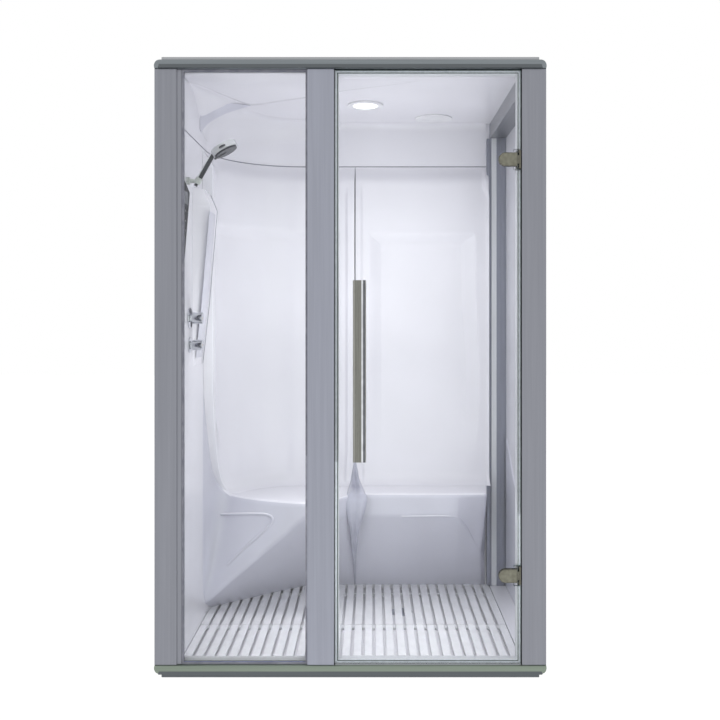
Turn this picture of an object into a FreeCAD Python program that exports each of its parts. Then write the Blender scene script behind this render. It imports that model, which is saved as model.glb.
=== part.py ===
"""Steam shower cabin: aluminium front frame with a fixed pane and a hinged glass door, moulded
shells with two seats, a low tray with slatted mats, taps, a hand shower and a steam generator.

Millimetres, +Z up, X to the right, the front looks along -Y. The origin is under the middle of
the whole cabin, door handle included, at the level of the floor it stands on.
"""
import FreeCAD, Part
import math
import os
import Sketcher
from FreeCAD import Vector

# ---------------------------------------------------------------- driving dimensions
DIMENSIONS = {
    # envelope
    "cabin_wide": 1400, "cabin_high": 2220, "cabin_deep": 940, "handle_reach": 50,
    # front frame
    "frame_deep": 45, "profile_wall": 3, "left_stile_wide": 80, "bead_wide": 16, "bead_set_back": 6,
    "pane_wide": 450, "mullion_wide": 96, "right_stile_wide": 87, "top_rail_high": 34,
    "top_strip_high": 10, "bottom_rail_high": 32, "base_strip_high": 14, "strip_inset": 24,
    "strip_set_back": 5, "rail_proud": 8, "rail_nose_radius": 12, "rail_end_radius": 25,
    # glass and its seals
    "glass_thick": 8, "pane_gap": 4, "pane_set_back": 12, "gasket_lip": 7, "gasket_side": 3,
    "door_set_back": 3, "door_gap": 4, "stop_wide": 16, "stop_gap": 3, "door_gasket_inset": 2,
    "door_gasket_gap": 1, "sweep_thick": 2.5,
    # door hinges
    "hinge_axis_off": 6, "knuckle_radius": 5.5, "pin_radius": 3, "running_gap": 0.05,
    "end_gap": 0.3, "knuckle_long": 30, "hinge_high": 65, "upper_hinge_off": 323,
    "lower_hinge_off": 318,
    "plate_long": 67, "plate_high": 49, "plate_thick": 3.5, "plate_off_axis": 10, "leaf_thick": 3.5,
    "leaf_deep": 28, "notch_deep": 25, "notch_gap": 3.5, "clamp_screw_radius": 3,
    "clamp_screw_pitch": 24, "clamp_head_radius": 5.5, "clamp_head_thick": 2, "glass_hole_gap": 2,
    "screw_blind": 2,
    # door handle
    "handle_low": 778, "handle_long": 641, "handle_wide": 46, "handle_thick": 20,
    "handle_corner": 5, "handle_from_gap": 68, "standoff_radius": 10, "standoff_end": 90,
    "handle_bolt_radius": 4, "handle_bolt_depth": 12,
    # moulded shells
    "shell_thick": 6, "room_left_off": 87, "room_right_off": 82, "room_back_off": 60,
    "corner_radius": 375, "roof_skirt_high": 197, "seam_x": 0, "seam_gap": 4,
    "flange_deep": 25, "flange_bolt_radius": 4, "flange_bolt_long": 24,
    "flange_bolt_first": 700, "flange_bolt_end": 79, "flange_bolt_count": 6,
    "flange_bolt_edge": 10, "side_panel_off": 4,
    # rear frame
    "post_wide": 79, "post_deep": 90, "rail_high": 70, "left_post_wide": 40,
    "left_post_deep": 48,
    # seats
    "seat_high": 530, "left_seat_front": 430, "right_seat_front": 611, "seat_seam_gap": 40,
    "left_crease_off_seam": 188, "crease_high": 474, "left_foot_deep": 600, "left_foot_high": 96,
    "crease_lean": 5, "seat_foot_gap": 8, "right_crease_high": 436, "right_crease_x": 172,
    "right_foot_deep": 850, "right_foot_high": 150,
    # tray, mats, drain and feet
    "tray_top": 60, "tray_floor_high": 40, "tray_floor_thick": 6, "tray_skirt": 12,
    "tray_side_gap": 3, "basin_inset": 3, "slat_wide": 30, "slat_thick": 8,
    "slat_count": 30, "mat_gap": 3, "mat_split": 368, "cross_bar_wide": 12, "rear_cross_bar": 765,
    "mat_end": 8, "foot_radius": 25, "foot_thick": 6, "foot_stud_radius": 6,
    "foot_inset": 90, "drain_x": 200, "drain_y": 560, "trap_radius": 45,
    "drain_hole_radius": 38, "drain_cover_radius": 48, "drain_cover_thick": 3, "drain_slot": 6,
    "drain_slot_pitch": 13, "drain_slot_half": 26, "waste_radius": 11, "waste_wall": 2,
    "waste_height": 20, "waste_spigot_radius": 12, "waste_spigot_long": 40,
    "waste_hole_gap": 3, "trap_wall": 2,
    # console and control panel
    "console_near": 235, "console_far": 425, "console_slope": 45, "console_low": 1100,
    "console_waist": 1344, "console_peak": 1720, "console_top": 1788, "bulge_low": 3,
    "bulge_waist": 30, "bulge_peak": 62, "bulge_top": 34, "panel_near": 48, "panel_far": 170,
    "panel_low": 1440, "panel_rear_top": 1757, "panel_front_top": 1802, "panel_thick": 4,
    "panel_tip": 10,
    # taps
    "tap_deep": 181, "thermostat_high": 1285, "diverter_high": 1183, "spindle_radius": 5,
    "spindle_long": 106, "wall_hole_radius": 9, "thermostat_plate_radius": 40,
    "diverter_plate_radius": 30, "tap_plate_thick": 4, "knob_radius": 22, "knob_long": 37,
    "neck_radius": 16, "neck_long": 9, "diverter_knob_radius": 19.5, "valve_wide": 66,
    "valve_deep": 50, "valve_margin": 40,
    # hand shower and its holder, in a plane square to the left wall
    "shower_deep": 130, "holder_high": 1796, "holder_radius": 14, "holder_base_long": 13,
    "pivot_radius": 6, "pivot_long": 8, "arm_radius": 8, "ring_radius": 13, "ring_long": 24,
    "ring_off_wall": 43, "grip_tilt": 61, "grip_radius": 9.5, "grip_long": 98,
    "tail_radius": 8, "tail_long": 24, "nut_radius": 7, "nut_long": 10, "head_radius": 50,
    "head_tilt": 29, "head_thick": 22, "spray_radius": 44, "spray_thick": 6,
    "spray_pin_radius": 5, "spray_pin_long": 8, "tab_wide": 12, "tab_reach": 7, "tab_thick": 4,
    # ceiling fittings
    "light_x": 50, "light_y": 524, "bezel_radius": 75, "lens_radius": 52, "bezel_thick": 6,
    "lens_thick": 4, "can_radius": 55, "can_high": 30, "can_wall": 2, "can_hole_gap": 1,
    "speaker_x": 352, "speaker_y": 767, "grille_radius": 82, "grille_thick": 4,
    "speaker_can_radius": 62,
    # water and steam
    "tank_side_off": 100, "tank_rear_off": 140, "tank_radius": 72, "tank_wall": 3,
    "tank_high": 320,
    "tank_stand_high": 50, "stand_radius": 55, "lid_thick": 8, "lid_radius": 78,
    "heater_radius": 5, "heater_spread": 50, "heater_long": 240, "heater_cap_high": 35,
    "heater_cap_radius": 40, "fill_valve_wide": 40, "fill_valve_high": 60, "fill_valve_level": 150,
    "fill_spigot_radius": 8, "fill_spigot_long": 12, "fill_valve_off": 30, "steam_outlet_off": 56,
    "steam_pipe_radius": 11, "steam_bend": 24, "steam_rise": 70, "steam_line_off": 25,
    "steam_off_seam": 130, "steam_high": 230, "steam_hole_gap": 1, "nozzle_radius": 30,
    "nozzle_long": 55, "nozzle_deep": 665, "pipe_radius": 9, "pipe_off_shell": 3,
    "hot_high": 1260, "cold_high": 1200, "pipe_end_off": 15, "riser_radius": 9,
    "union_radius": 12, "union_long": 25, "control_box_off_seam": 200,
    "control_box_wide": 180, "control_box_deep": 45, "control_box_drop": 479,
    "control_box_high": 240,
}

doc = FreeCAD.newDocument("SteamShowerCabin")
sheet = doc.addObject("Spreadsheet::Sheet", "Sizes")
for row, (alias, amount) in enumerate(DIMENSIONS.items(), start=1):
    sheet.set(f"A{row}", alias)
    sheet.set(f"B{row}", str(amount))
    sheet.setAlias(f"B{row}", alias)
doc.recompute()

nodes = []          # the finished sub-parts, one STEP file each


# ---------------------------------------------------------------- expressions
def size(name):
    """The sheet's cell of that name, as an expression."""
    return "Sizes." + name


def add(*terms):
    return "(" + " + ".join(str(term) for term in terms) + ")"


def less(first, *rest):
    return "(" + " - ".join(str(term) for term in (first, *rest)) + ")"


def times(first, second):
    return f"({first}) * ({second})"


def half(term):
    return f"({term}) / 2"


def number(expression):
    """What an expression comes to with the sheet as it stands."""
    return float(sheet.evalExpression(str(expression)))


# ---------------------------------------------------------------- modelling helpers
def made(obj, name):
    """Give a finished sub-part the name of its file."""
    obj.Label = name
    nodes.append(obj)
    return obj


def bind(obj, **expressions):
    """Bind properties, with __ standing for the dot of a nested one."""
    for path, expression in expressions.items():
        obj.setExpression(path.replace("__", "."), str(expression))
    return obj


def place(obj, x, y, z):
    return bind(obj, Placement__Base__x=x, Placement__Base__y=y, Placement__Base__z=z)


def block(name, x, y, z, wide, deep, high):
    """A box from its lowest corner."""
    box = doc.addObject("Part::Box", name)
    bind(box, Length=wide, Width=deep, Height=high)
    return place(box, x, y, z)


def span(name, x, y, z):
    """A box between two values on each axis."""
    return block(name, x[0], y[0], z[0], less(x[1], x[0]), less(y[1], y[0]), less(z[1], z[0]))


TURNS = {"X": FreeCAD.Rotation(Vector(0, 1, 0), 90), "Y": FreeCAD.Rotation(Vector(1, 0, 0), -90),
         "Z": FreeCAD.Rotation()}


def rod(name, axis, x, y, z, radius, length):
    """A cylinder that starts at a point and runs along +X, +Y or +Z."""
    cylinder = doc.addObject("Part::Cylinder", name)
    cylinder.Placement = FreeCAD.Placement(Vector(), TURNS[axis])
    bind(cylinder, Radius=radius, Height=length)
    return place(cylinder, x, y, z)


def tilted_rod(name, tilt, start, radius, length):
    """A cylinder in the XZ plane that leans from +X towards +Z by the angle tilt."""
    cylinder = doc.addObject("Part::Cylinder", name)
    cylinder.Placement = FreeCAD.Placement(Vector(), FreeCAD.Rotation(Vector(0, 1, 0), 45))
    bind(cylinder, Radius=radius, Height=length, Placement__Rotation__Angle=less(90, tilt))
    return place(cylinder, *start)


def cut(name, base, *tools):
    """Take the tools from the base, one after another."""
    for index, tool in enumerate(tools, start=1):
        cutter = doc.addObject("Part::Cut", name if index == len(tools) else f"{name}_cut_{index}")
        cutter.Base = base
        cutter.Tool = tool
        base = cutter
    return base


def fuse(name, *pieces):
    union = doc.addObject("Part::MultiFuse", name)
    union.Shapes = list(pieces)
    return union


def group(name, pieces):
    """Separate solids that share one file."""
    bunch = doc.addObject("Part::Compound", name)
    bunch.Links = list(pieces)
    return bunch


def common(name, first, second):
    overlap = doc.addObject("Part::Common", name)
    overlap.Base = first
    overlap.Tool = second
    return overlap


def new_sketch(body, name, plane, offset):
    """A sketch on one of the body's origin planes, moved along the plane's normal."""
    sketch = body.newObject("Sketcher::SketchObject", name)
    base = next(item for item in body.Origin.OriginFeatures if item.Role == plane + "_Plane")
    sketch.AttachmentSupport = [(base, "")]
    sketch.MapMode = "FlatFace"
    sketch.setExpression("AttachmentOffset.Base.z", str(offset))
    return sketch


def arc_seed(start, end, radius, turn):
    """The arc from start to end that bends left or right on its way."""
    chord = end - start
    middle = (start + end) * 0.5
    rise = math.sqrt(max(radius ** 2 - (chord.Length / 2) ** 2, 0))
    side = Vector(-chord.y, chord.x, 0).normalize() * (rise if turn == "left" else -rise)
    centre = middle + side
    first, last = (start, end) if turn == "left" else (end, start)
    angles = [math.atan2(point.y - centre.y, point.x - centre.x) for point in (first, last)]
    if angles[1] < angles[0]:
        angles[1] += 2 * math.pi
    return Part.ArcOfCircle(Part.Circle(centre, Vector(0, 0, 1), radius), *angles)


def draw_loop(sketch, corners):
    """A closed outline. A corner is (u, v), or (u, v, radius, turn) where an arc leads on."""
    seeds = [Vector(number(corner[0]), number(corner[1]), 0) for corner in corners]
    first = sketch.GeometryCount
    starts, ends = [], []
    for index, corner in enumerate(corners):
        start, end = seeds[index], seeds[(index + 1) % len(corners)]
        if len(corner) == 2:
            sketch.addGeometry(Part.LineSegment(start, end), False)
            turned = False
        else:
            sketch.addGeometry(arc_seed(start, end, number(corner[2]), corner[3]), False)
            turned = corner[3] == "right"
        starts.append((first + index, 2 if turned else 1))
        ends.append((first + index, 1 if turned else 2))
    for index, corner in enumerate(corners):
        following = starts[(index + 1) % len(corners)]
        sketch.addConstraint(Sketcher.Constraint("Coincident", *ends[index], *following))
    for index, corner in enumerate(corners):
        for kind, seed, expression in (("DistanceX", seeds[index].x, corner[0]),
                                       ("DistanceY", seeds[index].y, corner[1])):
            row = sketch.addConstraint(Sketcher.Constraint(kind, -1, 1, *starts[index], seed))
            sketch.setExpression(f"Constraints[{row}]", str(expression))
        if len(corner) > 2:
            row = sketch.addConstraint(Sketcher.Constraint("Radius", first + index,
                                                           number(corner[2])))
            sketch.setExpression(f"Constraints[{row}]", str(corner[2]))


def extrusion(name, plane, start, length, *loops):
    """A body made by padding closed outlines; start is where the plane's pad begins."""
    body = doc.addObject("PartDesign::Body", name)
    sketch = new_sketch(body, name + "_outline", plane, start)
    for corners in loops:
        draw_loop(sketch, corners)
    doc.recompute()
    pad = body.newObject("PartDesign::Pad", name + "_pad")
    pad.Profile = sketch
    bind(pad, Length=length)
    return body


def upright(name, z, *loops):
    """A vertical extrusion between two heights."""
    return extrusion(name, "XY", z[0], less(z[1], z[0]), *loops)


def rectangle(u, v):
    return [(u[0], v[0]), (u[1], v[0]), (u[1], v[1]), (u[0], v[1])]


def inset(pair, by):
    return add(pair[0], by), less(pair[1], by)


def hollow_upright(name, x, y, z):
    wall = size("profile_wall")
    return upright(name, z, rectangle(x, y), rectangle(inset(x, wall), inset(y, wall)))


def loft(name, sections, hollow=None):
    """A ruled body through outlines on planes square to X or Z, less an inner one if given."""
    body = doc.addObject("PartDesign::Body", name)
    for kind, stack in (("Additive", sections), ("Subtractive", hollow)):
        if not stack:
            continue
        sketches = []
        for index, (plane, offset, corners) in enumerate(stack):
            sketch = new_sketch(body, f"{name}_{kind}_{index}", plane, offset)
            draw_loop(sketch, corners)
            sketches.append(sketch)
        doc.recompute()
        feature = body.newObject(f"PartDesign::{kind}Loft", f"{name}_{kind}")
        feature.Profile = sketches[0]
        feature.Sections = sketches[1:]
        feature.Ruled = True
        doc.recompute()
    return body


def pipe(name, points, radius, bend):
    """A round bar along straight runs joined by tangent arcs."""
    corners = [Vector(*(number(value) for value in point)) for point in points]
    edges = []
    start = corners[0]
    for before, corner, after in zip(corners, corners[1:], corners[2:]):
        arriving = (before - corner).normalize()
        leaving = (after - corner).normalize()
        turn = math.pi - arriving.getAngle(leaving)
        reach = bend * math.tan(turn / 2)
        enter, leave = corner + arriving * reach, corner + leaving * reach
        bisector = (arriving + leaving).normalize()
        middle = corner + bisector * (bend / math.cos(turn / 2) - bend)
        edges += [Part.LineSegment(start, enter).toShape(),
                  Part.Arc(enter, middle, leave).toShape()]
        start = leave
    edges.append(Part.LineSegment(start, corners[-1]).toShape())
    path = Part.Wire(edges)
    heading = (corners[1] - corners[0]).normalize()
    circle = Part.Wire([Part.Circle(corners[0], heading, radius).toShape()])
    tube = doc.addObject("Part::Feature", name)
    tube.Shape = path.makePipeShell([circle], True, False)
    return tube


# ---------------------------------------------------------------- places that several pieces share
LEFT = "(-Sizes.cabin_wide / 2)"
RIGHT = "(Sizes.cabin_wide / 2)"
FRONT = "((Sizes.handle_reach - Sizes.cabin_deep) / 2)"
REAR = add(FRONT, size("cabin_deep"))
FRAME_BACK = add(FRONT, size("frame_deep"))
GROUND = "0"
SILL_UNDER = size("base_strip_high")
SILL_TOP = add(SILL_UNDER, size("bottom_rail_high"))
HEAD_UNDER = less(size("cabin_high"), size("top_strip_high"), size("top_rail_high"))
PANE_X = (add(LEFT, size("left_stile_wide"), size("bead_wide")),
          add(LEFT, size("left_stile_wide"), size("bead_wide"), size("pane_wide")))
DOOR_X = (add(PANE_X[1], size("mullion_wide")), less(RIGHT, size("right_stile_wide")))
OPENING_Z = (SILL_TOP, HEAD_UNDER)
FRAME_Y = (FRONT, FRAME_BACK)
DOOR_Y = (add(FRONT, size("door_set_back")),
          add(FRONT, size("door_set_back"), size("glass_thick")))
TRAY_TOP = size("tray_top")
ROOM_LEFT = add(LEFT, size("room_left_off"))
ROOM_RIGHT = less(RIGHT, size("room_right_off"))
ROOM_BACK = less(REAR, size("room_back_off"))
CORNER_Y = less(ROOM_BACK, size("corner_radius"))
CORNER_X = add(ROOM_LEFT, size("corner_radius"))
CEILING = HEAD_UNDER
SHELL_Z = (TRAY_TOP, less(CEILING, size("roof_skirt_high")))
HINGE_X = less(DOOR_X[1], size("hinge_axis_off"))
HINGE_Y = half(add(*DOOR_Y))
HINGES = {"upper": less(HEAD_UNDER, size("upper_hinge_off")),
          "lower": add(SILL_TOP, size("lower_hinge_off"))}
STEAM_X = less(size("seam_x"), size("steam_off_seam"))


def deep(name):
    """A place that is given as a depth behind the front of the frame."""
    return add(FRONT, size(name))


# ---------------------------------------------------------------- front frame
def front_frame():
    stile_inner = add(LEFT, size("left_stile_wide"))
    stile_x = (LEFT, stile_inner)
    bead_y = add(FRONT, size("bead_set_back"))
    wall = size("profile_wall")
    stepped = [(LEFT, FRONT), (stile_inner, FRONT), (stile_inner, bead_y), (PANE_X[0], bead_y),
               (PANE_X[0], FRAME_BACK), (LEFT, FRAME_BACK)]
    made(upright("left_stile", OPENING_Z, stepped,
                 rectangle(inset(stile_x, wall), inset(FRAME_Y, wall))), "left_stile")
    made(hollow_upright("mullion", (PANE_X[1], DOOR_X[0]), FRAME_Y, OPENING_Z), "mullion")
    made(hollow_upright("right_stile", (DOOR_X[1], RIGHT), FRAME_Y, OPENING_Z), "right_stile")
    rail("bottom_rail", SILL_UNDER, SILL_TOP, rounded_low=True)
    rail("top_rail", HEAD_UNDER, add(HEAD_UNDER, size("top_rail_high")), rounded_low=False)
    strip_x = inset((LEFT, RIGHT), size("strip_inset"))
    strip_y = (add(FRONT, size("strip_set_back")), FRAME_BACK)
    cap = span("cap_strip", strip_x, strip_y,
               (add(HEAD_UNDER, size("top_rail_high")), size("cabin_high")))
    plinth = span("plinth_strip", strip_x, strip_y, (GROUND, SILL_UNDER))
    made(group("trim_strips", [cap, plinth]), "trim_strips")


def rail(name, low, high, rounded_low):
    """A rail across the whole front with a round nose and two rounded outer ends."""
    nose, proud = size("rail_nose_radius"), less(FRONT, size("rail_proud"))
    nose_back = add(proud, nose)
    section = extrusion(name + "_section", "YZ", LEFT, size("cabin_wide"), [
        (FRAME_BACK, low), (FRAME_BACK, high), (nose_back, high, nose, "left"),
        (proud, less(high, nose)), (proud, add(low, nose), nose, "left"), (nose_back, low)])
    end = size("rail_end_radius")
    if rounded_low:
        face = [(LEFT, high), (LEFT, add(low, end), end, "left"), (add(LEFT, end), low),
                (less(RIGHT, end), low, end, "left"), (RIGHT, add(low, end)), (RIGHT, high)]
    else:
        face = [(RIGHT, low), (RIGHT, less(high, end), end, "left"), (less(RIGHT, end), high),
                (add(LEFT, end), high, end, "left"), (LEFT, less(high, end)), (LEFT, low)]
    reach = add(size("frame_deep"), size("rail_proud"))
    front_view = extrusion(name + "_front_view", "XZ", f"-{FRAME_BACK}", reach, face)
    made(common(name, section, front_view), name)


# ---------------------------------------------------------------- glass and seals
def fixed_pane():
    front = add(FRONT, size("pane_set_back"))
    pane_y = (front, add(front, size("glass_thick")))
    pane_x = inset(PANE_X, size("pane_gap"))
    pane_z = inset(OPENING_Z, size("pane_gap"))
    made(span("fixed_glass", pane_x, pane_y, pane_z), "fixed_glass")
    ring_y = (less(pane_y[0], size("gasket_side")), add(pane_y[1], size("gasket_side")))
    gasket = cut("fixed_glass_gasket", span("gasket_ring", PANE_X, ring_y, OPENING_Z),
                 span("gasket_window", inset(PANE_X, size("gasket_lip")), ring_y,
                      inset(OPENING_Z, size("gasket_lip"))),
                 span("gasket_groove", pane_x, pane_y, pane_z))
    made(gasket, "fixed_glass_gasket")


def hinge_notches(prefix):
    """Clear space round each hinge, cut from the stop frame and its gasket."""
    tall = add(half(size("hinge_high")), size("notch_gap"))
    x = (less(DOOR_X[1], size("stop_wide"), size("notch_gap")), DOOR_X[1])
    y = (DOOR_Y[1], add(DOOR_Y[1], size("leaf_deep"), size("notch_gap")))
    return [span(f"{prefix}_{name}_notch", x, y, (less(level, tall), add(level, tall)))
            for name, level in HINGES.items()]


def stop_frame():
    """Four lengths of profile round the door opening; the upright ones run its full height."""
    stop_y = (add(DOOR_Y[1], size("stop_gap")), FRAME_BACK)
    inner_x, inner_z = inset(DOOR_X, size("stop_wide")), inset(OPENING_Z, size("stop_wide"))
    hinge_side = cut("stop_hinge_side", span("stop_hinge_side_blank", (inner_x[1], DOOR_X[1]),
                                             stop_y, OPENING_Z), *hinge_notches("stop"))
    made(group("door_stop_frame", [
        span("stop_handle_side", (DOOR_X[0], inner_x[0]), stop_y, OPENING_Z), hinge_side,
        span("stop_sill", inner_x, stop_y, (OPENING_Z[0], inner_z[0])),
        span("stop_head", inner_x, stop_y, (inner_z[1], OPENING_Z[1]))]), "door_stop_frame")
    edge = size("door_gasket_inset")
    inner = less(size("stop_wide"), edge)
    gasket_y = (add(DOOR_Y[1], size("door_gasket_gap")), stop_y[0])
    gasket = cut("door_gasket", span("door_gasket_ring", inset(DOOR_X, edge), gasket_y,
                                     inset(OPENING_Z, edge)),
                 span("door_gasket_window", inset(DOOR_X, inner), gasket_y,
                      inset(OPENING_Z, inner)), *hinge_notches("gasket"))
    made(gasket, "door_gasket")


GLASS_X = inset(DOOR_X, size("door_gap"))
GLASS_Z = inset(OPENING_Z, size("door_gap"))
PLATE_X = (less(HINGE_X, size("plate_off_axis"), size("plate_long")),
           less(HINGE_X, size("plate_off_axis")))
HANDLE_X = (add(DOOR_X[0], size("handle_from_gap")),
            add(DOOR_X[0], size("handle_from_gap"), size("handle_wide")))
HANDLE_Z = (size("handle_low"), add(size("handle_low"), size("handle_long")))
STANDOFFS = {"lower": add(HANDLE_Z[0], size("standoff_end")),
             "upper": less(HANDLE_Z[1], size("standoff_end"))}


def clamp_screw_places():
    """Name, x and z of each clamp screw."""
    middle = half(add(*PLATE_X))
    for name, level in HINGES.items():
        for place_name, sign in (("low", "-1"), ("high", "1")):
            yield (f"{name}_{place_name}", middle,
                   add(level, times(sign, half(size("clamp_screw_pitch")))))


def door_glass():
    notch_x = (less(GLASS_X[1], size("notch_deep")), add(GLASS_X[1], size("door_gap")))
    tall = add(half(size("hinge_high")), size("notch_gap"))
    tools = [span(f"glass_{name}_notch", notch_x, DOOR_Y, (less(level, tall), add(level, tall)))
             for name, level in HINGES.items()]
    hole = add(size("clamp_screw_radius"), size("glass_hole_gap"))
    tools += [rod(f"glass_hole_{name}", "Y", x, DOOR_Y[0], z, hole, size("glass_thick"))
              for name, x, z in clamp_screw_places()]
    hole = add(size("handle_bolt_radius"), size("glass_hole_gap"))
    tools += [rod(f"glass_handle_hole_{name}", "Y", half(add(*HANDLE_X)), DOOR_Y[0], level, hole,
                  size("glass_thick")) for name, level in STANDOFFS.items()]
    made(cut("door_glass", span("door_pane", GLASS_X, DOOR_Y, GLASS_Z), *tools), "door_glass")
    made(span("door_bottom_seal", GLASS_X, DOOR_Y,
              (less(GLASS_Z[0], size("sweep_thick")), GLASS_Z[0])), "door_bottom_seal")


def clamp_plate(name, level, y):
    """A plate with a half-round end towards the middle of the door."""
    radius = half(size("plate_high"))
    low, high = less(level, radius), add(level, radius)
    bend = add(PLATE_X[0], radius)
    return extrusion(name, "XZ", f"-{y[1]}", less(y[1], y[0]), [
        (PLATE_X[1], low), (PLATE_X[1], high), (bend, high, radius, "left"),
        (PLATE_X[0], level, radius, "left"), (bend, low)])


def hinges():
    outer_y = (less(DOOR_Y[0], size("plate_thick")), DOOR_Y[0])
    inner_y = (DOOR_Y[1], add(DOOR_Y[1], size("plate_thick")))
    bore = add(size("pin_radius"), size("running_gap"))
    knuckle_half = half(size("knuckle_long"))
    outer_plates, inner_plates, leaves, pins, screws = [], [], [], [], []
    for name, level in HINGES.items():
        low = less(level, half(size("hinge_high")))
        web = span(name + "_web", (less(GLASS_X[1], size("notch_deep")), HINGE_X), DOOR_Y,
                   (less(level, knuckle_half), add(level, knuckle_half)))
        knuckle = rod(name + "_knuckle", "Z", HINGE_X, HINGE_Y, less(level, knuckle_half),
                      size("knuckle_radius"), size("knuckle_long"))
        outer = fuse(name + "_outer_blank", clamp_plate(name + "_outer_plate", level, outer_y),
                     web, knuckle)
        inner = clamp_plate(name + "_inner_plate", level, inner_y)
        threads = [rod(f"{name}_thread_{index}", "Y", x, add(outer_y[0], size("screw_blind")), z,
                       size("clamp_screw_radius"), times(2, size("glass_thick")))
                   for index, (hole, x, z) in enumerate(clamp_screw_places())
                   if hole.startswith(name)]
        outer_plates.append(cut(name + "_outer", outer,
                                rod(name + "_bore", "Z", HINGE_X, HINGE_Y, low, bore,
                                    size("hinge_high")), *threads))
        inner_plates.append(cut(name + "_inner", inner, *threads))
        leaves.append(hinge_bracket(name, level, low))
        pins.append(rod(name + "_pin", "Z", HINGE_X, HINGE_Y, low, size("pin_radius"),
                        size("hinge_high")))
    for name, x, z in clamp_screw_places():
        start = add(outer_y[0], size("screw_blind"))
        shank = rod(name + "_shank", "Y", x, start, z, size("clamp_screw_radius"),
                    less(inner_y[1], start))
        head = rod(name + "_head", "Y", x, inner_y[1], z, size("clamp_head_radius"),
                   size("clamp_head_thick"))
        screws.append(fuse(name + "_screw", shank, head))
    made(group("hinge_outer_plates", outer_plates), "hinge_outer_plates")
    made(group("hinge_inner_plates", inner_plates), "hinge_inner_plates")
    made(group("hinge_brackets", leaves), "hinge_brackets")
    made(group("hinge_pins", pins), "hinge_pins")
    made(group("hinge_clamp_screws", screws), "hinge_clamp_screws")


def hinge_bracket(name, level, low):
    """The half of a hinge that is screwed to the stile: a leaf and two knuckles."""
    free = add(half(size("knuckle_long")), size("end_gap"))
    lug_high = less(half(size("hinge_high")), free)
    leaf_y = (add(DOOR_Y[1], size("stop_gap")), add(DOOR_Y[1], size("leaf_deep")))
    pieces = [span(name + "_leaf", (less(DOOR_X[1], size("leaf_thick")), DOOR_X[1]), leaf_y,
                   (low, add(low, size("hinge_high"))))]
    for end, start in (("foot", low), ("top", add(level, free))):
        pieces.append(rod(f"{name}_{end}_knuckle", "Z", HINGE_X, HINGE_Y, start,
                          size("knuckle_radius"), lug_high))
        pieces.append(span(f"{name}_{end}_lug", (less(DOOR_X[1], size("leaf_thick")), DOOR_X[1]),
                           (HINGE_Y, leaf_y[0]), (start, add(start, lug_high))))
        pieces.append(span(f"{name}_{end}_bridge", (HINGE_X, less(DOOR_X[1], size("leaf_thick"))),
                           (HINGE_Y, add(HINGE_Y, half(size("knuckle_radius")))),
                           (start, add(start, lug_high))))
    return cut(name + "_bracket", fuse(name + "_bracket_blank", *pieces),
               rod(name + "_pin_seat", "Z", HINGE_X, HINGE_Y, low, size("pin_radius"),
                   size("hinge_high")))


def rounded_rectangle(u, v, radius):
    """Corners of a rectangle whose corners are arcs, drawn to turn left all the way."""
    inner_u, inner_v = inset(u, radius), inset(v, radius)
    return [(inner_u[0], v[0]), (inner_u[1], v[0], radius, "left"), (u[1], inner_v[0]),
            (u[1], inner_v[1], radius, "left"), (inner_u[1], v[1]),
            (inner_u[0], v[1], radius, "left"), (u[0], inner_v[1]),
            (u[0], inner_v[0], radius, "left")]


def handles():
    thick = size("handle_thick")
    outer_y = (less(FRONT, size("handle_reach")), add(less(FRONT, size("handle_reach")), thick))
    stand_off = less(DOOR_Y[0], outer_y[1])
    inner_y = (add(DOOR_Y[1], stand_off), add(DOOR_Y[1], stand_off, thick))
    middle = half(add(*HANDLE_X))
    bolts = []
    sides = (("outer_handle", outer_y, outer_y[1]), ("inner_handle", inner_y, DOOR_Y[1]))
    bolt_start = less(DOOR_Y[0], size("handle_bolt_depth"))
    bolt_long = add(size("glass_thick"), times(2, size("handle_bolt_depth")))
    for name, bar_y, post_start in sides:
        pieces = [upright(name + "_bar", HANDLE_Z,
                          rounded_rectangle(HANDLE_X, bar_y, size("handle_corner")))]
        pieces += [rod(f"{name}_{end}_post", "Y", middle, post_start, level,
                       size("standoff_radius"), stand_off) for end, level in STANDOFFS.items()]
        holes = [rod(f"{name}_{end}_thread", "Y", middle, bolt_start, level,
                     size("handle_bolt_radius"), bolt_long) for end, level in STANDOFFS.items()]
        made(cut(name, fuse(name + "_blank", *pieces), *holes), name)
    for end, level in STANDOFFS.items():
        bolts.append(rod(f"handle_{end}_bolt", "Y", middle, bolt_start, level,
                         size("handle_bolt_radius"), bolt_long))
    made(group("handle_bolts", bolts), "handle_bolts")


# ---------------------------------------------------------------- moulded shells and rear frame
def wall_band(grow_in, thick, right, flange):
    """Plan of a moulded wall: along the left, round the rear corner and along the back."""
    inner_left, inner_back = add(ROOM_LEFT, grow_in), less(ROOM_BACK, grow_in)
    outer_left, outer_back = less(inner_left, thick), add(inner_back, thick)
    inner_radius = less(size("corner_radius"), grow_in)
    outer_radius = add(inner_radius, thick)
    band = [(outer_left, FRAME_BACK), (inner_left, FRAME_BACK),
            (inner_left, CORNER_Y, inner_radius, "right"), (CORNER_X, inner_back),
            (right, inner_back)]
    if flange:
        flange_back = add(outer_back, size("flange_deep"))
        band += [(right, flange_back), (less(right, thick), flange_back),
                 (less(right, thick), outer_back)]
    else:
        band += [(right, outer_back)]
    band += [(CORNER_X, outer_back, outer_radius, "left"), (outer_left, CORNER_Y)]
    return band


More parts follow.
